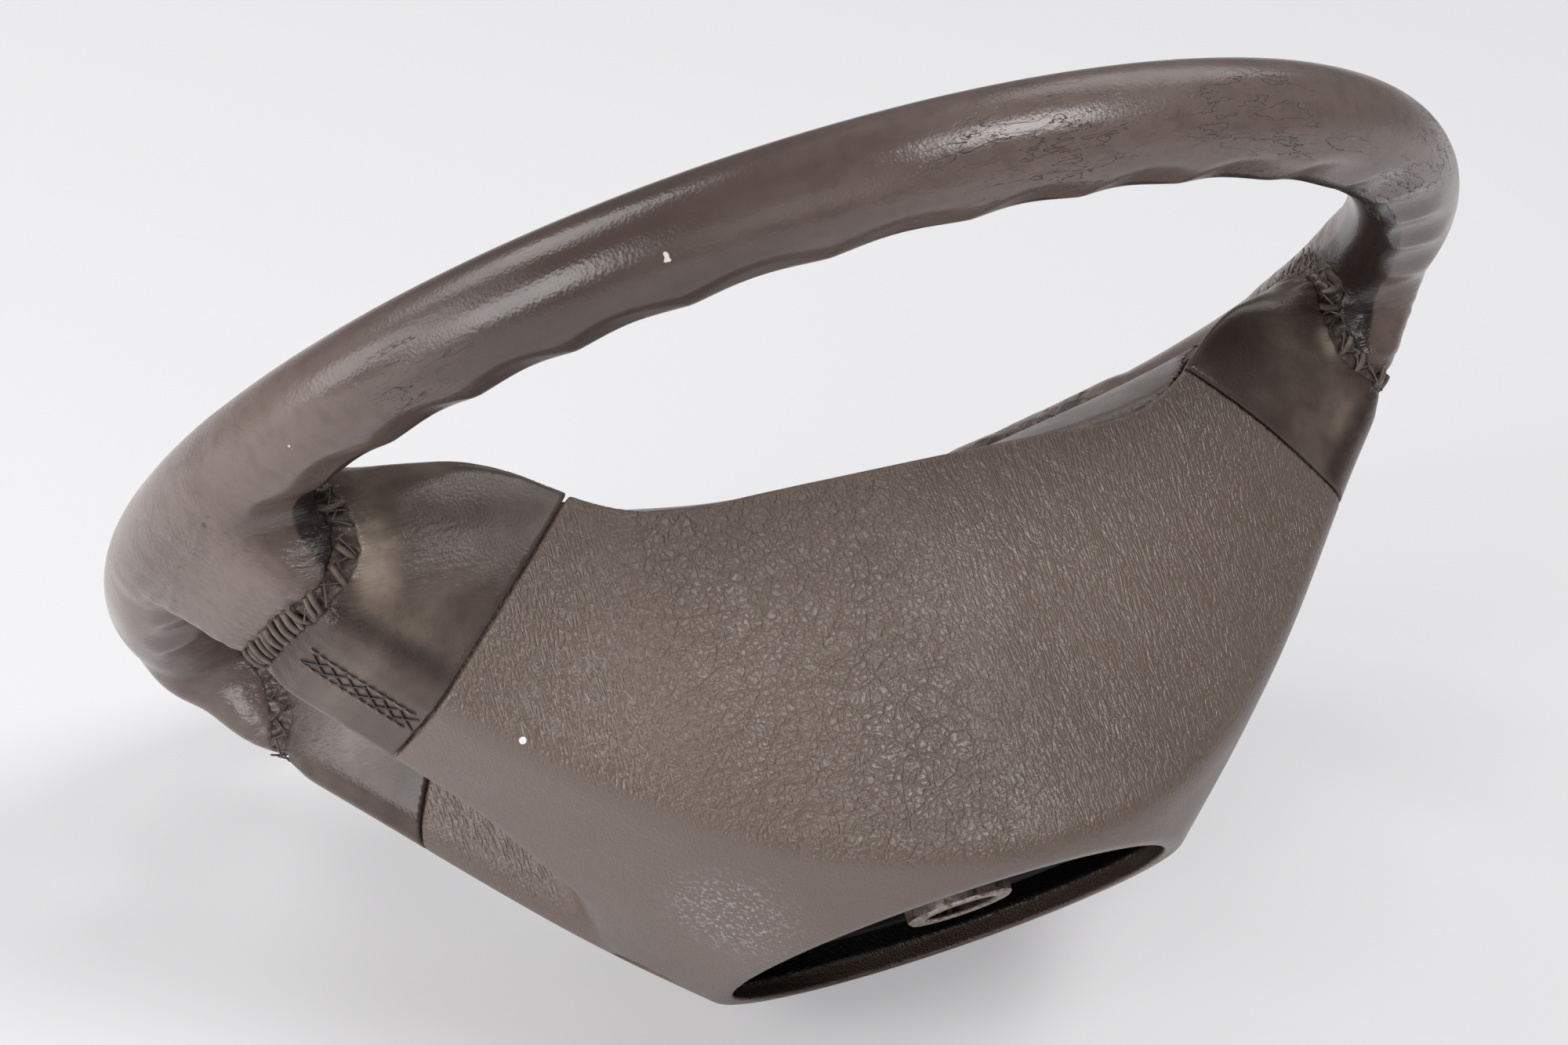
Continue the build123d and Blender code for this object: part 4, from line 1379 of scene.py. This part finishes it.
@dataclass
class Shroud:
    """Moulded shell of the hub, open at its rear mouth."""

    form: WheelForm
    finishes: Finishes
    step: float = 1.05
    triangles: int = 195_000
    edge_reach: float = 1.1
    seat_reach: float = 0.7
    root_wall: float = 14.0
    tongue_sink: float = 1.5
    tongue_l: float = 6.0
    ledge: float = 1.2
    ledge_z: float = 3.4
    access_at: tuple[float, float] = (76.6, -44.3)
    access_r: float = 6.5
    pocket: Sequence[tuple[float, float]] = (
        (71.8, 42.0),
        (82.1, -27.6),
        (89.5, -43.3),
        (76.6, -57.2),
        (50.0, -50.0),
    )
    pocket_z: float = 108.0
    front_z: float = 134.0
    front_t: float = 3.0

    def __post_init__(self) -> None:
        """Close the outline of the pad plate's pocket."""
        self.pocket_loop = list(self.pocket) + [(-x, y) for x, y in reversed(self.pocket)]

    def shape(self, x: np.ndarray, y: np.ndarray, z: np.ndarray) -> np.ndarray:
        """Distance to the shell."""
        seat = self.form.groove(x, y, z) + self.form.groove_w / 2.0
        skin = self.form.spokes(x, y, z)
        outer = soft_max(skin, seat, self.seat_reach)
        tongue = np.maximum(skin + self.tongue_sink, np.abs(seat) - self.tongue_l)
        shell = soft_max(np.minimum(outer, tongue), -self.hollow(x, y, z), self.edge_reach)
        shell = soft_max(shell, self.form.mouth_z - z, self.edge_reach)
        hole = np.hypot(np.abs(x) - self.access_at[0], y - self.access_at[1]) - self.access_r
        shell = soft_max(shell, -hole, self.edge_reach)
        pocket = np.maximum(polygon_distance(self.pocket_loop, x, y), self.pocket_z - z)
        return np.maximum(shell, -pocket)

    def hollow(self, x: np.ndarray, y: np.ndarray, z: np.ndarray) -> np.ndarray:
        """Distance to the room inside the shell, under the front skin."""
        wall = self.form.moulding(x, y, z, self.form.shell_t)
        wall += self.ledge * soft_step(z, self.ledge_z, self.ledge_z + 1.0)
        seat = self.form.groove(x, y, z) + self.form.groove_w / 2.0
        front = z - self.form.dish(np.hypot(x, y)) + self.front_t
        return np.maximum(np.maximum(wall, seat + self.root_wall), front)

    def inside_mark(self, x: np.ndarray, y: np.ndarray, z: np.ndarray) -> np.ndarray:
        """1 on the inner faces, 0 on the skin."""
        deep = soft_step(-self.form.spokes(x, y, z), 0.8, 2.2)
        return deep * soft_step(z, self.ledge_z - 1.0, self.ledge_z + 1.5)

    def build(self) -> None:
        """Make the shell."""
        net = SurfaceNet(self.shape, (-156, -114, -5), (156, 70, self.front_z), self.step).settle()
        shell = net.build("hub_shroud", {"inside": self.inside_mark})
        thin_out(shell, self.triangles)
        dress(shell, self.finishes.skin)
        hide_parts("moulded_body")
        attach(shell, "wheel")
        LOG.info("%s: %d faces", shell.name, len(shell.data.polygons))


@dataclass
class HornPad:
    """Crowned pad on the driver's side."""

    form: WheelForm
    finishes: Finishes
    gap: float = 1.8
    step: float = 1.4
    edge_reach: float = 3.0
    middle_y: float = -10.0
    half_height: float = 50.0
    floor_z: float = 116.2
    outline: Sequence[tuple[float, float]] = (
        (84.0, 39.0),
        (126.0, 34.0),
        (142.0, 24.0),
        (145.0, 8.0),
        (138.0, -2.0),
        (119.0, -8.0),
        (95.0, -17.0),
        (86.0, -30.0),
        (84.0, -40.0),
        (66.0, -53.0),
        (50.0, -58.0),
    )

    def __post_init__(self) -> None:
        """Fit the crown."""
        across = (0.0, 28.0, 50.0, 66.0, 93.5, 113.0, 137.0, 152.0)
        self.crown = SmoothTable(across, (125.0, 125.6, 127.4, 130.6, 136.0, 140.2, 146.2, 151.0))
        self.edge = SmoothTable(across, (117.4, 117.4, 117.6, 118.6, 122.2, 126.6, 135.0, 142.5))
        self.loop = list(self.outline) + [(-x, y) for x, y in reversed(self.outline)]

    def shape(self, x: np.ndarray, y: np.ndarray, z: np.ndarray) -> np.ndarray:
        """Distance to the pad."""
        crown = self.crown(np.abs(x))
        fall = (crown - self.edge(np.abs(x))) * ((y - self.middle_y) / self.half_height) ** 2
        top = (z - crown + fall) * 0.9
        flank = polygon_distance(self.loop, x, y)
        floor = np.maximum(self.form.dish(np.hypot(x, y)) + self.gap, self.floor_z)
        under = (floor - z) * self.form.dish_slope
        return np.maximum(soft_max(top, flank, self.edge_reach), under)

    def build(self) -> None:
        """Make the pad."""
        net = SurfaceNet(self.shape, (-150, -62, 112), (150, 44, 154), self.step).settle()
        pad = net.build("horn_pad_cover")
        dress(pad, self.finishes.pad)
        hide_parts("horn_pad")
        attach(pad, "pad")
        LOG.info("%s: %d faces", pad.name, len(pad.data.polygons))


@dataclass
class Lathe:
    """Round piece turned about the column axis."""

    name: str
    profile: Sequence[tuple[float, float]]
    turns: int = 128
    crease: float = 35.0

    def build(self) -> bpy.types.Object:
        """Spin the closed profile of radius and height, both in mm."""
        rings = len(self.profile)
        angles = np.linspace(0.0, 2.0 * math.pi, self.turns, endpoint=False)
        verts = []
        for angle in angles:
            for r, z in self.profile:
                verts.append((r * math.cos(angle) * MM, r * math.sin(angle) * MM, z * MM))
        faces = []
        for i in range(self.turns):
            j = (i + 1) % self.turns
            for k in range(rings):
                m = (k + 1) % rings
                faces.append((i * rings + k, j * rings + k, j * rings + m, i * rings + m))
        mesh = bpy.data.meshes.new(self.name)
        mesh.from_pydata(verts, [], faces)
        mesh.update()
        obj = bpy.data.objects.new(self.name, mesh)
        bpy.context.scene.collection.objects.link(obj)
        for polygon in mesh.polygons:
            polygon.use_smooth = True
        mesh.set_sharp_from_angle(angle=math.radians(self.crease))
        return obj


@dataclass
class HubCore:
    """Steel boss and black carrier seen in the rear mouth, and the hidden fittings."""

    finishes: Finishes
    boss_r: float = 15.2
    boss_l: float = 72.0
    recess_r: float = 10.0
    recess_l: float = 22.0
    bore_r: float = 8.5
    chamfer: float = 0.7

    def build(self) -> None:
        """Turn the boss and give it its finish."""
        c = self.chamfer
        profile = (
            (self.boss_r, self.boss_l),
            (self.boss_r, c),
            (self.boss_r - c, 0.0),
            (self.recess_r + c, 0.0),
            (self.recess_r, c),
            (self.recess_r, self.recess_l),
            (self.bore_r + c, self.recess_l),
            (self.bore_r, self.recess_l + c),
            (self.bore_r, self.boss_l),
        )
        boss = Lathe("boss_turned", profile[::-1]).build()
        dress(boss, self.finishes.boss)
        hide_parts("hub_boss")
        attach(boss, "wheel")

    def dress_fittings(self, nodes: dict[str, bpy.types.Object]) -> None:
        """Give the hidden fittings their finishes.

        Args:
            nodes: The CAD nodes by name.
        """
        choices = {
            "spoke_frame": self.finishes.frame,
            "rim_ring": self.finishes.frame,
            "carrier_skirt": self.finishes.black,
            "contact_carrier": self.finishes.black,
            "contact_ring": self.finishes.brass,
            "pad_plate": self.finishes.zinc,
        }
        for name, node in nodes.items():
            dress(node, choices.get(name, self.finishes.zinc))


@dataclass(frozen=True)
class SoftBox:
    """Square lamp, placed right, ahead and up from the wheel's middle, in metres and watts."""

    name: str
    place: Place
    power: float
    size: float = 1.1


@dataclass
class Studio:
    """Pale table, soft light and the camera."""

    camera_at: Place = (0.460185, 0.865483, -0.108182)
    right: Place = (-0.8747, 0.36911, -0.3141)
    down: Place = (0.18789, -0.33915, -0.92178)
    ahead: Place = (-0.44677, -0.86529, 0.2273)
    lens: float = 81.0
    sensor: float = 36.0
    floor_normal: Place = (0.0, 0.767, 0.641)
    floor_point: Place = (0.0, -0.0781, -0.0022)
    floor_half: float = 6.0
    middle: Place = (0.0, 0.0, 0.09)
    world_tone: Colour = (1.0, 0.995, 1.0)
    world_strength: float = 0.15
    table: Colour = (0.90, 0.895, 0.905)
    table_seen: Colour = (0.85, 0.845, 0.855)
    pale: Colour = (0.82, 0.81, 0.83)
    lift: float = 0.4
    boxes: Sequence[SoftBox] = (
        SoftBox("near_left", (-1.20, -1.65, 0.80), 25.0),
        SoftBox("left", (-1.99, -0.65, 0.68), 15.0),
        SoftBox("far_left", (-1.51, 0.63, 1.47), 15.0),
        SoftBox("far", (0.63, 1.51, 1.47), 6.0),
        SoftBox("key", (1.03, -0.50, 1.88), 27.0, 0.9),
        SoftBox("near", (0.35, -1.96, 0.93), 3.0),
    )

    def _axes(self) -> tuple[Vector, Vector, Vector]:
        """Right, ahead and up, as the camera sees them along the table."""
        up = Vector(self.floor_normal).normalized()
        ahead = Vector(self.ahead)
        ahead = (ahead - up * ahead.dot(up)).normalized()
        return ahead.cross(up), ahead, up

    def camera(self) -> None:
        """Place the camera where the photograph was taken from."""
        data = bpy.data.cameras.new("camera")
        data.lens = self.lens
        data.sensor_width = self.sensor
        data.clip_end = 50.0
        cam = bpy.data.objects.new("camera", data)
        x, y, z = Vector(self.right), -Vector(self.down), -Vector(self.ahead)
        matrix = Matrix((x, y, z)).transposed().to_4x4()
        matrix.translation = Vector(self.camera_at)
        cam.matrix_world = matrix
        bpy.context.scene.collection.objects.link(cam)
        bpy.context.scene.camera = cam

    def floor(self) -> None:
        """Lay the pale table under the wheel."""
        right, ahead, up = self._axes()
        centre = Vector(self.floor_point)
        corners = []
        for a, b in ((-1, -1), (1, -1), (1, 1), (-1, 1)):
            corners.append(centre + right * a * self.floor_half + ahead * b * self.floor_half)
        mesh = bpy.data.meshes.new("table")
        mesh.from_pydata([tuple(c) for c in corners], [], [(0, 1, 2, 3)])
        mesh.update()
        if mesh.polygons[0].normal.dot(up) < 0.0:
            mesh.flip_normals()
        table = bpy.data.objects.new("table", mesh)
        bpy.context.scene.collection.objects.link(table)
        t = MaterialTree("table_white")
        seen = t.add("ShaderNodeLightPath").outputs["Is Camera Ray"]
        t.feed(t.shader, "Base Color", t.mix(seen, self.table, self.table_seen))
        t.shader.inputs["Roughness"].default_value = 0.6
        t.shader.inputs["Specular IOR Level"].default_value = 0.2
        pale = t.add("ShaderNodeEmission", Color=(*self.pale, 1.0), Strength=1.0).outputs["Emission"]
        lifted = t.add("ShaderNodeMixShader")
        t.feed(lifted, 0, t.math("MULTIPLY", seen, self.lift))
        t.feed(lifted, 1, t.shader.outputs["BSDF"])
        t.feed(lifted, 2, pale)
        back = t.add("ShaderNodeNewGeometry").outputs["Backfacing"]
        clear = t.add("ShaderNodeBsdfTransparent").outputs["BSDF"]
        mixed = t.add("ShaderNodeMixShader")
        t.feed(mixed, 0, back)
        t.feed(mixed, 1, lifted.outputs["Shader"])
        t.feed(mixed, 2, clear)
        t.feed(t.output, "Surface", mixed.outputs["Shader"])
        table.data.materials.append(t.material)

    def lamp(self, box: SoftBox) -> None:
        """Hang one soft box.

        Args:
            box: The lamp.
        """
        data = bpy.data.lights.new(box.name, "AREA")
        data.shape = "SQUARE"
        data.size = box.size
        data.energy = box.power
        lamp = bpy.data.objects.new(box.name, data)
        axes = self._axes()
        offset = sum((axis * value for axis, value in zip(axes, box.place)), Vector())
        lamp.location = Vector(self.middle) + offset
        lamp.rotation_euler = (-offset).to_track_quat("-Z", "Y").to_euler()
        bpy.context.scene.collection.objects.link(lamp)

    def build(self) -> None:
        """Set up the whole studio."""
        scene = bpy.context.scene
        scene.view_settings.view_transform = "Standard"
        world = bpy.data.worlds.new("studio")
        scene.world = world
        world.use_nodes = True
        background = world.node_tree.nodes["Background"]
        background.inputs["Color"].default_value = (*self.world_tone, 1.0)
        background.inputs["Strength"].default_value = self.world_strength
        self.camera()
        self.floor()
        for box in self.boxes:
            self.lamp(box)


def main() -> None:
    """Build the wheel on its frame."""
    logging.basicConfig(level=logging.INFO, format="%(name)s: %(message)s")
    for obj in list(bpy.data.objects):
        bpy.data.objects.remove(obj)
    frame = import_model()
    finishes = Finishes()
    form = WheelForm()
    core = HubCore(finishes)
    core.dress_fittings(frame["nodes"])
    core.build()
    LeatherWork(form, finishes).build()
    SeamThreads(form, finishes).build()
    Shroud(form, finishes).build()
    HornPad(form, finishes).build()
    Studio().build()


if __name__ == "__main__":
    main()
